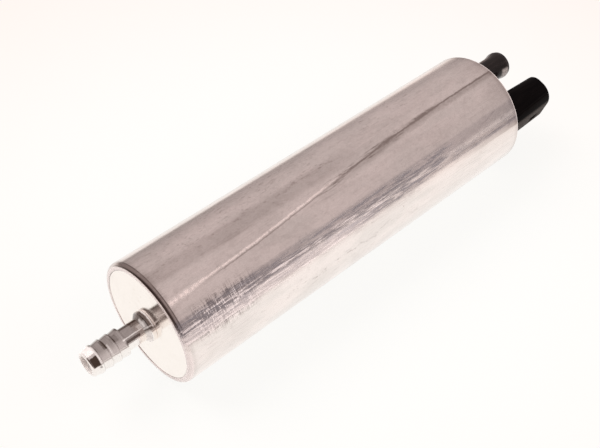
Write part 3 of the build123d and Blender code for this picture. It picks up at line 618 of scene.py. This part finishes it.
# Each inner material slot: its finish, its two colours, and what else that finish is given
STEEL = (0.62, 0.61, 0.60)
STAINED = (0.34, 0.32, 0.30)
INNER = {
    "seal_rubber": (rubber_finish, (0.012, 0.012, 0.013), (0.05, 0.048, 0.046)),
    "bearing_steel": (ground_finish, (0.70, 0.69, 0.68), STAINED, (3.0, 0.3, 0.3), 0.16),
    "spring_steel": (ground_finish, (0.45, 0.44, 0.43), (0.2, 0.19, 0.18), (0.3, 3.0, 3.0)),
    "stage_steel": (turned_face_finish, STEEL, STAINED, 0.26, 6.0),
    "sintered_iron": (grainy_finish, (0.34, 0.33, 0.32), (0.16, 0.15, 0.14), 0.9, 0.38),
    "bronze": (grainy_finish, (0.58, 0.38, 0.17), (0.30, 0.18, 0.08), 1.0, 0.34, 1.6),
    "yoke_steel": (ground_finish, (0.50, 0.49, 0.48), (0.22, 0.20, 0.19), (2.4, 0.1, 0.1), 0.3),
    "ferrite": (grainy_finish, (0.045, 0.045, 0.048), (0.10, 0.10, 0.105), 0.1, 0.5, 1.4, 0.015),
    "enamelled_copper": (wound_finish, (0.50, 0.19, 0.06), (0.10, 0.035, 0.012)),
    "bare_copper": (ground_finish, (0.78, 0.36, 0.20), (0.32, 0.13, 0.07), (2.2, 0.2, 0.2), 0.22),
    "moulded_resin": (plastic_finish, (0.16, 0.07, 0.03), (0.28, 0.16, 0.09), 0.4),
    "holder_plastic": (plastic_finish, (0.05, 0.048, 0.042), (0.16, 0.15, 0.13), 0.38),
    "carbon": (grainy_finish, (0.03, 0.03, 0.032), (0.09, 0.085, 0.08), 0.2, 0.45, 2.0, 0.02),
    "tinned_brass": (ground_finish, (0.76, 0.74, 0.70), (0.50, 0.40, 0.22), (0.2, 2.0, 2.0)),
    "valve_plastic": (plastic_finish, (0.62, 0.58, 0.50), (0.42, 0.38, 0.30), 0.35),
}


# What a user would change


def measure(name, description, millimetres):
    return bpy.props.FloatProperty(
        name=name, description=description, default=millimetres * MM, unit="LENGTH"
    )


def paint(name, description, default):
    return bpy.props.FloatVectorProperty(
        name=name, description=description, default=default, subtype="COLOR", min=0, max=1
    )


class PumpSizes(bpy.types.PropertyGroup):
    """Sizes of the outer pieces and the springs that the frame doesn't give as a box."""

    rim_round: measure("Rim round", "Radius of the can's rolled rims", 1.5)
    lip_width: measure("Lip width", "Width of the lip rolled over each end cover", 2.2)
    lip_thickness: measure("Lip thickness", "Thickness of the rolled lip", 1.0)
    can_wall: measure("Can wall", "Wall of the drawn can", 1.2)
    face_sink: measure("Face sink", "How far the end faces lie inside the rims", 0.2)
    edge_break: measure("Edge break", "Rounding of a turned edge", 0.15)
    spring_wire: measure("Spring wire", "Wire of the valve and brush springs", 0.4)
    steps: bpy.props.IntProperty(
        name="Steps", description="Steps round the can and its covers", default=192, min=32, max=512
    )


class PumpColours(bpy.types.PropertyGroup):
    """Colours of the outer pieces, the floor and the room."""

    can: paint("Can", "Bare aluminium", (0.98, 0.885, 0.85))
    can_drift: paint("Can tint", "Where the aluminium is a little duller", (0.90, 0.825, 0.79))
    # The can's grime and pale colours also carry painted shade and painted reflections of the floor
    can_grime_and_shade: paint("Can grime", "Grime and rub marks on the can", (0.30, 0.24, 0.22))
    rub_grime_and_shade: paint("Rub marks", "Dark rub marks low on the can", (0.25, 0.225, 0.245))
    can_pale_and_reflection: paint("Pale rubs", "Pale rub marks and worn edges of the can", (0.97, 0.86, 0.84))
    pale_crease_and_reflection: paint("Pale crease", "The near end of the crease", (0.96, 0.77, 0.72))
    rim_line: paint("Rim lines", "Dark lines on the near rim", (0.10, 0.075, 0.068))
    face: paint("End face", "Turned aluminium of the inlet cover", (1.0, 0.93, 0.88))
    face_grime: paint("End face stains", "Stains on the inlet cover", (0.84, 0.75, 0.69))
    nipple: paint("Nipple", "Turned steel of the hose nipple", (0.97, 0.925, 0.895))
    # The nipple's dark colour carries stains and painted shade, its pale colour painted highlights
    nipple_stain_and_shade: paint("Nipple stains", "Dull spots on the hose nipple", (0.100, 0.070, 0.056))
    nipple_highlight: paint("Nipple lights", "Bright spots on the hose nipple", (0.97, 0.92, 0.89))
    plastic: paint("Plug", "Black moulding of the plug housing", (0.0018, 0.0012, 0.0013))
    plug_wear: paint("Plug wear", "Scuffs on the plug housing", (0.012, 0.008, 0.007))
    # A painted sheen on the plug's flat side
    plug_sheen: paint("Plug rub", "The plug's rubbed flat side", (0.062, 0.052, 0.047))
    stub: paint("Outlet cover", "Black moulding of cover and stub", (0.0105, 0.0075, 0.007))
    plastic_wear: paint("Plastic wear", "Scuffs on the black moulding", (0.050, 0.036, 0.032))
    # A painted sheen on the stub's upper side, and a painted highlight on its crest
    stub_sheen: paint("Stub rub", "The stub's rubbed upper side", (0.110, 0.085, 0.075))
    crest_highlight: paint("Crest rub", "The rubbed side of the stub's crest", (0.50, 0.44, 0.41))
    floor: paint("Floor", "Pale studio floor", (0.99, 0.985, 0.965))
    floor_far: paint("Outer floor", "The floor further from the pump", (1.0, 0.875, 0.82))
    room: paint("Room", "The room over the floor", (0.60, 0.53, 0.52))


# Shapes

WELD = 0.002 * MM
ROUND_STEPS = 96
SHARP_FROM = 35.0


def linked(name, shape):
    """An object in the scene, with a bmesh as its mesh."""
    mesh = bpy.data.meshes.new(name)
    shape.to_mesh(mesh)
    shape.free()
    thing = bpy.data.objects.new(name, mesh)
    bpy.context.scene.collection.objects.link(thing)
    return thing


def as_piece(name, shape, material, sharp_from=SHARP_FROM):
    """A bmesh as a finished object at the origin, its seams closed, its faces outwards."""
    bmesh.ops.remove_doubles(shape, verts=shape.verts, dist=WELD)
    bmesh.ops.recalc_face_normals(shape, faces=shape.faces)
    piece = linked(name, shape)
    piece.data.materials.append(material)
    soften(piece.data, sharp_from)
    return piece


def soften(mesh, angle):
    """Smooth shading, with edges sharper than an angle in degrees kept."""
    for face in mesh.polygons:
        face.use_smooth = True
    mesh.set_sharp_from_angle(angle=math.radians(angle))


def turned(profile, steps, centre=(0.0, 0.0)):
    """A bmesh spun about a line along X through centre. A profile off the line is closed."""
    shape = bmesh.new()
    corners = [shape.verts.new((x, centre[0], centre[1] + radius)) for x, radius in profile]
    edges = [shape.edges.new(pair) for pair in zip(corners, corners[1:])]
    if profile[0][1] > 0 and profile[-1][1] > 0:
        edges.append(shape.edges.new((corners[-1], corners[0])))
    bmesh.ops.spin(
        shape, geom=corners + edges, cent=(0, *centre), axis=(1, 0, 0), angle=TURN, steps=steps,
        use_merge=True, use_normal_flip=False,
    )
    bmesh.ops.remove_doubles(shape, verts=shape.verts, dist=WELD)
    bmesh.ops.recalc_face_normals(shape, faces=shape.faces)
    return shape


def bevel(shape, geom, amount, affect, segments):
    bmesh.ops.bevel(
        shape, geom=geom, offset=amount, offset_type="OFFSET", affect=affect, segments=segments,
        profile=0.5, material=-1, clamp_overlap=True,
    )


def rounded_rings(shape, rings, centre=(0.0, 0.0), segments=5):
    """Bevels the round edges at each (x, radius), by an amount given for each."""
    near_x, near_radius = 0.004 * MM, 0.02 * MM
    for x, radius, amount in rings:

        def on_ring(vert):
            reach = math.hypot(vert.co.y - centre[0], vert.co.z - centre[1])
            return abs(vert.co.x - x) < near_x and abs(reach - radius) < near_radius

        ring = [edge for edge in shape.edges if all(on_ring(vert) for vert in edge.verts)]
        if ring:
            bevel(shape, ring, amount, "EDGES", segments)


def added(shape, other):
    """Puts another bmesh's faces into a shape."""
    carrier = bpy.data.meshes.new("carrier")
    other.to_mesh(carrier)
    other.free()
    shape.from_mesh(carrier)
    bpy.data.meshes.remove(carrier)


def cut(piece, cutter):
    """Takes a closed bmesh out of a piece's mesh."""
    bmesh.ops.recalc_face_normals(cutter, faces=cutter.faces)
    tool = linked("cutter", cutter)
    taking = piece.modifiers.new("cut", "BOOLEAN")
    taking.operation = "DIFFERENCE"
    taking.solver = "EXACT"
    taking.object = tool
    settle(piece)
    mesh = tool.data
    bpy.data.objects.remove(tool)
    bpy.data.meshes.remove(mesh)


def settle(piece):
    """Makes a piece's modifiers its mesh."""
    bpy.context.view_layer.update()
    view = bpy.context.evaluated_depsgraph_get()
    old = piece.data
    settled = bpy.data.meshes.new_from_object(piece.evaluated_get(view))
    piece.modifiers.clear()
    piece.data = settled
    bpy.data.meshes.remove(old)


def placed(piece, node, body="pump_body"):
    """Rides a piece on its body, in place of a CAD node."""
    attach(piece, body)
    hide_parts(node)


def repaint(node, material):
    """Gives a CAD node one material over all of its mesh."""
    carried = frame["nodes"][node]
    if not carried.data.materials:
        carried.data.materials.append(material)
    for slot in carried.material_slots:
        slot.link = "OBJECT"
        slot.material = material


# Operators


class PUMP_OT_can(bpy.types.Operator):
    """Builds the drawn can with both rolled rims"""

    bl_idname = "pump.can"
    bl_label = "Can"

    def execute(self, context):
        sizes = context.scene.pump_sizes
        low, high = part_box("can")
        near, far, side = low[0], high[0], high[2]
        bore = side - sizes.can_wall
        lip = side - sizes.lip_width
        back = sizes.lip_thickness
        lip_round = 0.25 * MM
        shape = turned(
            [
                (near, side), (far, side), (far, lip), (far - back, lip), (far - back, bore),
                (near + back, bore), (near + back, lip), (near, lip),
            ],
            sizes.steps,
        )
        rings = [(end, side, sizes.rim_round) for end in (near, far)]
        rings += [(end, lip, lip_round) for end in (near, far)]
        rounded_rings(shape, rings, segments=8)
        placed(as_piece("drawn_can", shape, can_finish(context.scene.pump_colours)), "can")
        return {"FINISHED"}


class PUMP_OT_inlet(bpy.types.Operator):
    """Finishes the inlet cover and builds its turned hose nipple"""

    bl_idname = "pump.inlet"
    bl_label = "Inlet end"

    def execute(self, context):
        sizes, colours = context.scene.pump_sizes, context.scene.pump_colours
        satin = turned_face_finish("cover_aluminium", colours.face, colours.face_grime, 0.11)
        repaint("inlet_cover", satin)
        low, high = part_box("inlet_nipple")
        tip, spigot_end, collar = low[0], high[0], high[2]
        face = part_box("inlet_cover")[0][0]
        stem, barb, root, nose = 3.8 * MM, 4.8 * MM, 4.3 * MM, 4.4 * MM
        bore, spigot = 3.0 * MM, 4.5 * MM
        collar_front, cone_end, start = face - 1.5 * MM, face - 2.9 * MM, face - 9.6 * MM
        pitch, land, taper = BARB_PITCH * MM, 1.0 * MM, 2.05 * MM
        shoulders = [start - number * pitch for number in range(4)]
        last = shoulders[-1]
        profile = [
            (spigot_end, bore), (spigot_end, spigot), (face, spigot), (face, collar),
            (collar_front, collar), (cone_end, stem), (start, stem),
        ]
        for shoulder in shoulders[:-1]:
            profile += [(shoulder, barb), (shoulder - pitch, root)]
        profile += [
            (last, barb), (last - land, barb), (last - taper, nose), (tip, nose), (tip, bore),
        ]
        shape = turned(profile, ROUND_STEPS)
        barb_break, land_break, nose_round, bore_break = 0.12 * MM, 0.2 * MM, 0.9 * MM, 0.3 * MM
        rings = [(station, collar, sizes.edge_break) for station in (collar_front, face)]
        rings += [(shoulder, barb, barb_break) for shoulder in shoulders]
        rings += [(last - land, barb, land_break), (tip, nose, nose_round), (tip, bore, bore_break)]
        rounded_rings(shape, rings)
        placed(as_piece("hose_nipple", shape, nipple_finish(colours)), "inlet_nipple")
        return {"FINISHED"}


class PUMP_OT_outlet(bpy.types.Operator):
    """Builds the black outlet cover with its hose stub and plug housing"""

    bl_idname = "pump.outlet"
    bl_label = "Outlet end"

    def execute(self, context):
        sizes, colours = context.scene.pump_sizes, context.scene.pump_colours
        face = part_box("can")[1][0] - sizes.face_sink
        # The stub takes a painted sheen on its upper side and a painted highlight on its crest
        material = plastic_finish(
            "cover_plastic", colours.stub, colours.plastic_wear, shine=0.12, gloss=0.2,
            sheen_marks=stub_sheen_marks, lightened=(colours.stub_sheen, colours.crest_highlight),
        )
        cover = as_piece("outlet_end", self.cover_shape(face, sizes.steps), material)
        placed(cover, "outlet_cover")

        # The plug's flat side takes a painted grey sheen
        black = plastic_finish(
            "plug_plastic", colours.plastic, colours.plug_wear, shine=0.3, gloss=0.0, coat=0.08,
            sheen_marks=flat_side_sheen, lightened=(colours.plug_sheen,),
        )
        plug = as_piece("plug_housing", self.plug_shape(face), black)
        cut(plug, self.window_shape(face))
        edges = plug.modifiers.new("edges", "BEVEL")
        edges.width = 0.22 * MM
        edges.segments = 3
        edges.limit_method = "ANGLE"
        edges.angle_limit = math.radians(40)
        edges.profile = 0.5
        settle(plug)
        soften(plug.data, SHARP_FROM)
        placed(plug, "outlet_cover")
        return {"FINISHED"}

    def cover_shape(self, face, steps):
        """The cover turned in one with its skirt, and the hose stub with a fillet at its foot."""
        low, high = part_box("outlet_cover")
        skirt, tip = low[0], high[0]
        wall, step, seat_end = face - 8.8 * MM, face - 0.8 * MM, skirt + 2.2 * MM
        insert, inner, lip, seat = 20.22 * MM, 17.22 * MM, 19.22 * MM, 18.46 * MM
        shape = turned(
            [
                (skirt, inner), (skirt, seat), (seat_end, seat), (seat_end, insert),
                (step, insert), (step, lip), (face, lip), (face, 0.0), (wall, 0.0), (wall, inner),
            ],
            steps,
        )
        lip_round, skirt_round = 0.2 * MM, 0.3 * MM
        rounded_rings(shape, [(face, lip, lip_round), (skirt, inner, skirt_round)], segments=3)

        offset = PORT_OFFSET * MM
        stub_at = (offset * math.cos(PORT_TURN), offset * math.sin(PORT_TURN))
        stem, crest, nose = 4.65 * MM, 5.3 * MM, 5.0 * MM
        bore, seat_hole = 3.1 * MM, 1.9 * MM
        foot, valve_seat, stem_end = wall + 0.5 * MM, face + 3.2 * MM, face + 21.0 * MM
        crest_start, crest_end, nose_start = face + 23.8 * MM, face + 24.9 * MM, face + 25.2 * MM
        stub = turned(
            [
                (foot, seat_hole), (foot, stem), (stem_end, stem), (crest_start, crest),
                (crest_end, crest), (nose_start, nose), (tip, nose), (tip, bore),
                (valve_seat, bore), (valve_seat, seat_hole),
            ],
            ROUND_STEPS,
            stub_at,
        )
        nose_round, bore_round, crest_round = 0.8 * MM, 0.25 * MM, 0.2 * MM
        rings = [(tip, nose, nose_round), (tip, bore, bore_round), (crest_end, crest, crest_round)]
        rounded_rings(stub, rings, stub_at)
        # Heights over the face, and distances out from the stem
        fillet = (
            (-0.2, -0.2), (-0.2, 0.8), (0.0, 0.8), (0.1, 0.4), (0.35, 0.12), (0.8, 0.0), (0.8, -0.2)
        )
        added(shape, stub)
        profile = [(face + height * MM, stem + out * MM) for height, out in fillet]
        added(shape, turned(profile, ROUND_STEPS, stub_at))
        return shape

    def plug_shape(self, face):
        """The plug housing: a drafted oblong body with its socket sunk into the mouth."""
        length, wall, socket = PLUG_LENGTH * MM, 1.4 * MM, 13.0 * MM
        half = tuple(size * MM for size in PLUG_HALF)
        corners, draft = (6.0 * MM, 4.4 * MM), math.tan(math.radians(1.8))
        shape = bmesh.new()
        self.outline(shape, half, corners)

        def verts_in(geom):
            return [part for part in geom if isinstance(part, bmesh.types.BMVert)]

        def at_mouth():
            return [f for f in shape.faces if all(abs(v.co.z) < 0.001 * MM for v in f.verts)]

        base = bmesh.ops.extrude_face_region(shape, geom=shape.faces[:])
        base_verts = verts_in(base["geom"])
        grow = length * draft
        wider = (1 + grow / half[0], 1 + grow / half[1], 1)
        bmesh.ops.scale(shape, vec=wider, verts=base_verts)
        bmesh.ops.translate(shape, vec=(0, 0, -length), verts=base_verts)
        bmesh.ops.inset_region(shape, faces=at_mouth(), thickness=wall, use_even_offset=True)
        # The inset leaves the socket's floor, with many corners, inside narrow faces with four
        floor = min((f for f in at_mouth() if len(f.verts) > 8), key=lambda f: f.calc_area())
        sunk = verts_in(bmesh.ops.extrude_face_region(shape, geom=[floor])["geom"])
        bmesh.ops.translate(shape, vec=(0, 0, -socket), verts=sunk)
        bmesh.ops.delete(shape, geom=[floor], context="FACES_KEEP_BOUNDARY")
        self.to_port(shape, face + length, (-PORT_OFFSET * MM, 0.0))
        return shape

    def window_shape(self, face):
        """The block that cuts the latch window through the plug's flat side."""
        size = (2.4 * MM, 3.0 * MM, 4.5 * MM)
        from_mouth, from_line, down = 6.65 * MM, (PORT_OFFSET + 6.4) * MM, 1.2 * MM
        shape = bmesh.new()
        bmesh.ops.create_cube(shape, size=1.0)
        bmesh.ops.scale(shape, vec=size, verts=shape.verts)
        self.to_port(shape, face + PLUG_LENGTH * MM - from_mouth, (-from_line, -down))
        return shape

    def outline(self, shape, half, corners):
        """A rounded oblong face across Z, with corner rounds for its outer and inner side."""
        spots = [
            (-half[0], -half[1]), (-half[0], half[1]), (half[0], half[1]), (half[0], -half[1]),
        ]
        points = [shape.verts.new((x, y, 0.0)) for x, y in spots]
        shape.faces.new(points)
        for pair, amount in zip((points[:2], points[2:]), corners):
            bevel(shape, pair, amount, "VERTICES", 10)

    def to_port(self, shape, station, place):
        """Moves a shape drawn across Z to a station along X, on the ports' turned axes."""
        across = Vector((0, math.cos(PORT_TURN), math.sin(PORT_TURN)))
        up = Vector((1, 0, 0)).cross(across)
        axes = Matrix((across, up, (1, 0, 0))).transposed().to_4x4()
        axes.translation = Vector((station, 0, 0)) + across * place[0] + up * place[1]
        bmesh.ops.transform(shape, matrix=axes, verts=shape.verts)


class PUMP_OT_inside(bpy.types.Operator):
    """Finishes the seals, the pumping stage, the motor, the chokes and both valves"""

    bl_idname = "pump.inside"
    bl_label = "Inner pieces"

    def execute(self, context):
        finishes = {slot: finish(slot, *values) for slot, (finish, *values) in INNER.items()}
        for node, slot in slots.items():
            if slot in finishes:
                repaint(node, finishes[slot])
        return {"FINISHED"}


class PUMP_OT_springs(bpy.types.Operator):
    """Winds the valve and brush springs that the joints name"""

    bl_idname = "pump.springs"
    bl_label = "Springs"

    def execute(self, context):
        wire = context.scene.pump_sizes.spring_wire
        steel = bpy.data.materials["spring_steel"]
        for joint in frame["record"]["behaviour"]["joints"]:
            for spring in joint.get("deforming_nodes", ()):
                node, letter = spring["node"], spring["mode"][-1]
                line = "xyz".index(letter)
                low, high = (Vector(corner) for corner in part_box(node))
                size, middle = high - low, (low + high) / 2
                along = Vector([float(index == line) for index in range(3)])
                width = min(size[index] for index in range(3) if index != line)
                shape = self.coil(size[line], (width - wire) / 2, wire)
                stand = Vector((1, 0, 0)).rotation_difference(along).to_matrix().to_4x4()
                stand.translation = middle - along * size[line] / 2
                bmesh.ops.transform(shape, matrix=stand, verts=shape.verts)
                piece = as_piece(node + "_coil", shape, steel, sharp_from=60.0)
                placed(piece, node)
                anchor = middle.copy()
                anchor[line] = spring["fixed_end_" + letter + "_m"]
                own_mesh(piece)
        return {"FINISHED"}

    def coil(self, length, radius, wire):
        """Round wire wound about X from the origin: open turns, and a closed one at each end."""
        shape = bmesh.new()
        quarter = Matrix.Rotation(TURN / 4, 3, "X")
        bmesh.ops.create_circle(shape, cap_ends=False, radius=wire / 2, segments=10)
        bmesh.ops.rotate(shape, cent=(0, 0, 0), matrix=quarter, verts=shape.verts)
        bmesh.ops.translate(shape, vec=(wire / 2, 0, radius), verts=shape.verts)
        closed = wire * 1.04
        open_turns = round(length / (3 * wire))
        section = shape.verts[:] + shape.edges[:]
        for turns, rise in ((1, closed), (open_turns, length - wire - 2 * closed), (1, closed)):
            steps = 24 * turns
            wound = bmesh.ops.spin(
                shape, geom=section, cent=(0, 0, 0), axis=(1, 0, 0), dvec=(rise / steps, 0, 0),
                angle=TURN * turns, steps=steps, use_merge=False, use_normal_flip=False,
            )
            section = wound["geom_last"]
        ends = [edge for edge in shape.edges if edge.is_boundary]
        bmesh.ops.holes_fill(shape, edges=ends, sides=0)
        return shape


class PUMP_OT_stage(bpy.types.Operator):
    """Lays the floor and sets the room, the lamps and the camera"""

    bl_idname = "pump.stage"
    bl_label = "Stage"

    def execute(self, context):
        scene, colours = context.scene, context.scene.pump_colours
        ground = cad_bounds[0][2]
        shape = bmesh.new()
        bmesh.ops.create_grid(shape, x_segments=1, y_segments=1, size=12.0)
        bmesh.ops.translate(shape, vec=(0, 0, ground), verts=shape.verts)
        floor = linked("studio_floor", shape)
        floor.data.materials.append(self.floor_finish(colours.floor, colours.floor_far))

        self.room(scene, colours.room)
        self.lamp("soft_key", (-0.25, 0.45, 0.75), size=0.6, power=6.5)
        self.lamp("soft_fill", (0.35, -0.65, 0.65), size=0.7, power=5.0)

        eye = bpy.data.cameras.new("photo_camera")
        eye.lens = 59.6
        eye.sensor_width = 36.0
        eye.clip_start = 0.01
        camera = bpy.data.objects.new("photo_camera", eye)
        back = Vector((-0.477, -0.515, 0.713)).normalized()
        right = Vector((0.733, -0.681, 0.0)).normalized()
        camera.matrix_world = Matrix((right, back.cross(right), back)).transposed().to_4x4()
        camera.location = (-0.1726, -0.1720, 0.2380)
        scene.collection.objects.link(camera)
        scene.camera = camera
        scene.view_settings.view_transform = "Standard"
        return {"FINISHED"}

    def floor_finish(self, colour, warm):
        """A pale floor that cameras and metal see white, and that keeps the pump's shadow."""
        f, spot = new_finish("studio_floor")
        path = f.node("ShaderNodeLightPath")
        outputs = path.socket.node.outputs
        mirrored = Wire(f, outputs["Is Glossy Ray"]).most(Wire(f, outputs["Is Transmission Ray"]))
        to_camera, to_metal = 0.9, 0.98
        seen = (Wire(f, outputs["Is Camera Ray"]) * to_camera).most(mirrored * to_metal)
        x, y = f.parts_of(spot)[:2]
        dust = f.noise(spot, 0.01, 3.0)
        beyond = 1 - (y / MM).between(-158, 205, 14)
        away = f.radius_of(x, y) / MM
        pale = f.mix(away.rise(60, 300), colour, warm)
        clean, dusty, far_wall = (0.88, 0.87, 0.85), (0.84, 0.83, 0.81), (0.42, 0.37, 0.36)
        paper = f.mix(dust * 0.3, clean, dusty)
        glow = f.mix(beyond * mirrored, pale, far_wall)
        kind, matt = "ShaderNodeBsdfPrincipled", {"Roughness": 1.0, "Specular IOR Level": 0.0}
        black = (0.0, 0.0, 0.0)
        glowing = {"Base Color": black, "Emission Color": glow, "Emission Strength": 1.0, **matt}
        lit = f.node(kind, None, {"Base Color": paper, **matt})
        shown = f.node(kind, None, glowing)
        shader = f.node("ShaderNodeMixShader", None, {0: seen, 1: lit, 2: shown})
        f.node("ShaderNodeOutputMaterial", None, {"Surface": shader})
        return f.owner

    def room(self, scene, colour):
        """The room: dimmer low down, with a pale strip at one side and a dark wall at the other."""
        world = bpy.data.worlds.new("studio_room")
        scene.world = world
        f = Finish(world)
        side, depth, height = f.parts_of(f.node("ShaderNodeTexCoord"))
        shades = ((0.0, 0.72), (0.08, 0.8), (0.30, 0.95), (1.0, 1.0))
        stops = [(place, tuple(part * shade for part in colour)) for place, shade in shades]
        sky = f.node("ShaderNodeValToRGB", {"stops": stops}, {0: height})
        strip = height.between(0.012, 0.085, 0.012) * (1 - depth.rise(-0.4, 0.0))
        pale, dark = (0.95, 0.88, 0.85), (0.12, 0.085, 0.08)
        sky = f.mix(side.rise(-0.74, -0.42), dark, f.mix(strip, sky, pale))
        back = f.node("ShaderNodeBackground", None, {"Color": sky, "Strength": 1.0})
        f.node("ShaderNodeOutputWorld", None, {"Surface": back})

    def lamp(self, name, place, size, power):
        """A soft square lamp aimed at the pump, which metal doesn't mirror."""
        light = bpy.data.lights.new(name, "AREA")
        light.shape = "SQUARE"
        light.size = size
        light.energy = power
        lamp = bpy.data.objects.new(name, light)
        lamp.location = place
        lamp.visible_glossy = False
        lamp.rotation_euler = (-Vector(place)).to_track_quat("-Z", "Y").to_euler()
        bpy.context.scene.collection.objects.link(lamp)


class PUMP_PT_panel(bpy.types.Panel):
    """Lists what builds the pump"""

    bl_idname = "PUMP_PT_panel"
    bl_label = "Fuel pump"
    bl_space_type = "VIEW_3D"
    bl_region_type = "UI"
    bl_category = "Fuel pump"

    def draw(self, context):
        for operator in operators:
            self.layout.operator(operator.bl_idname)
        for group in (context.scene.pump_sizes, context.scene.pump_colours):
            for name in group.bl_rna.properties.keys():
                if name not in ("rna_type", "name"):
                    self.layout.prop(group, name)


operators = (
    PUMP_OT_can, PUMP_OT_inlet, PUMP_OT_outlet, PUMP_OT_inside, PUMP_OT_springs, PUMP_OT_stage,
)
classes = (PumpSizes, PumpColours, *operators, PUMP_PT_panel)


def register():
    for kind in classes:
        bpy.utils.register_class(kind)
    bpy.types.Scene.pump_sizes = bpy.props.PointerProperty(type=PumpSizes)
    bpy.types.Scene.pump_colours = bpy.props.PointerProperty(type=PumpColours)


def unregister():
    del bpy.types.Scene.pump_colours
    del bpy.types.Scene.pump_sizes
    for kind in reversed(classes):
        bpy.utils.unregister_class(kind)


def main():
    register()
    bpy.ops.pump.can()
    bpy.ops.pump.inlet()
    bpy.ops.pump.outlet()
    bpy.ops.pump.inside()
    bpy.ops.pump.springs()
    bpy.ops.pump.stage()


if __name__ == "__main__":
    main()
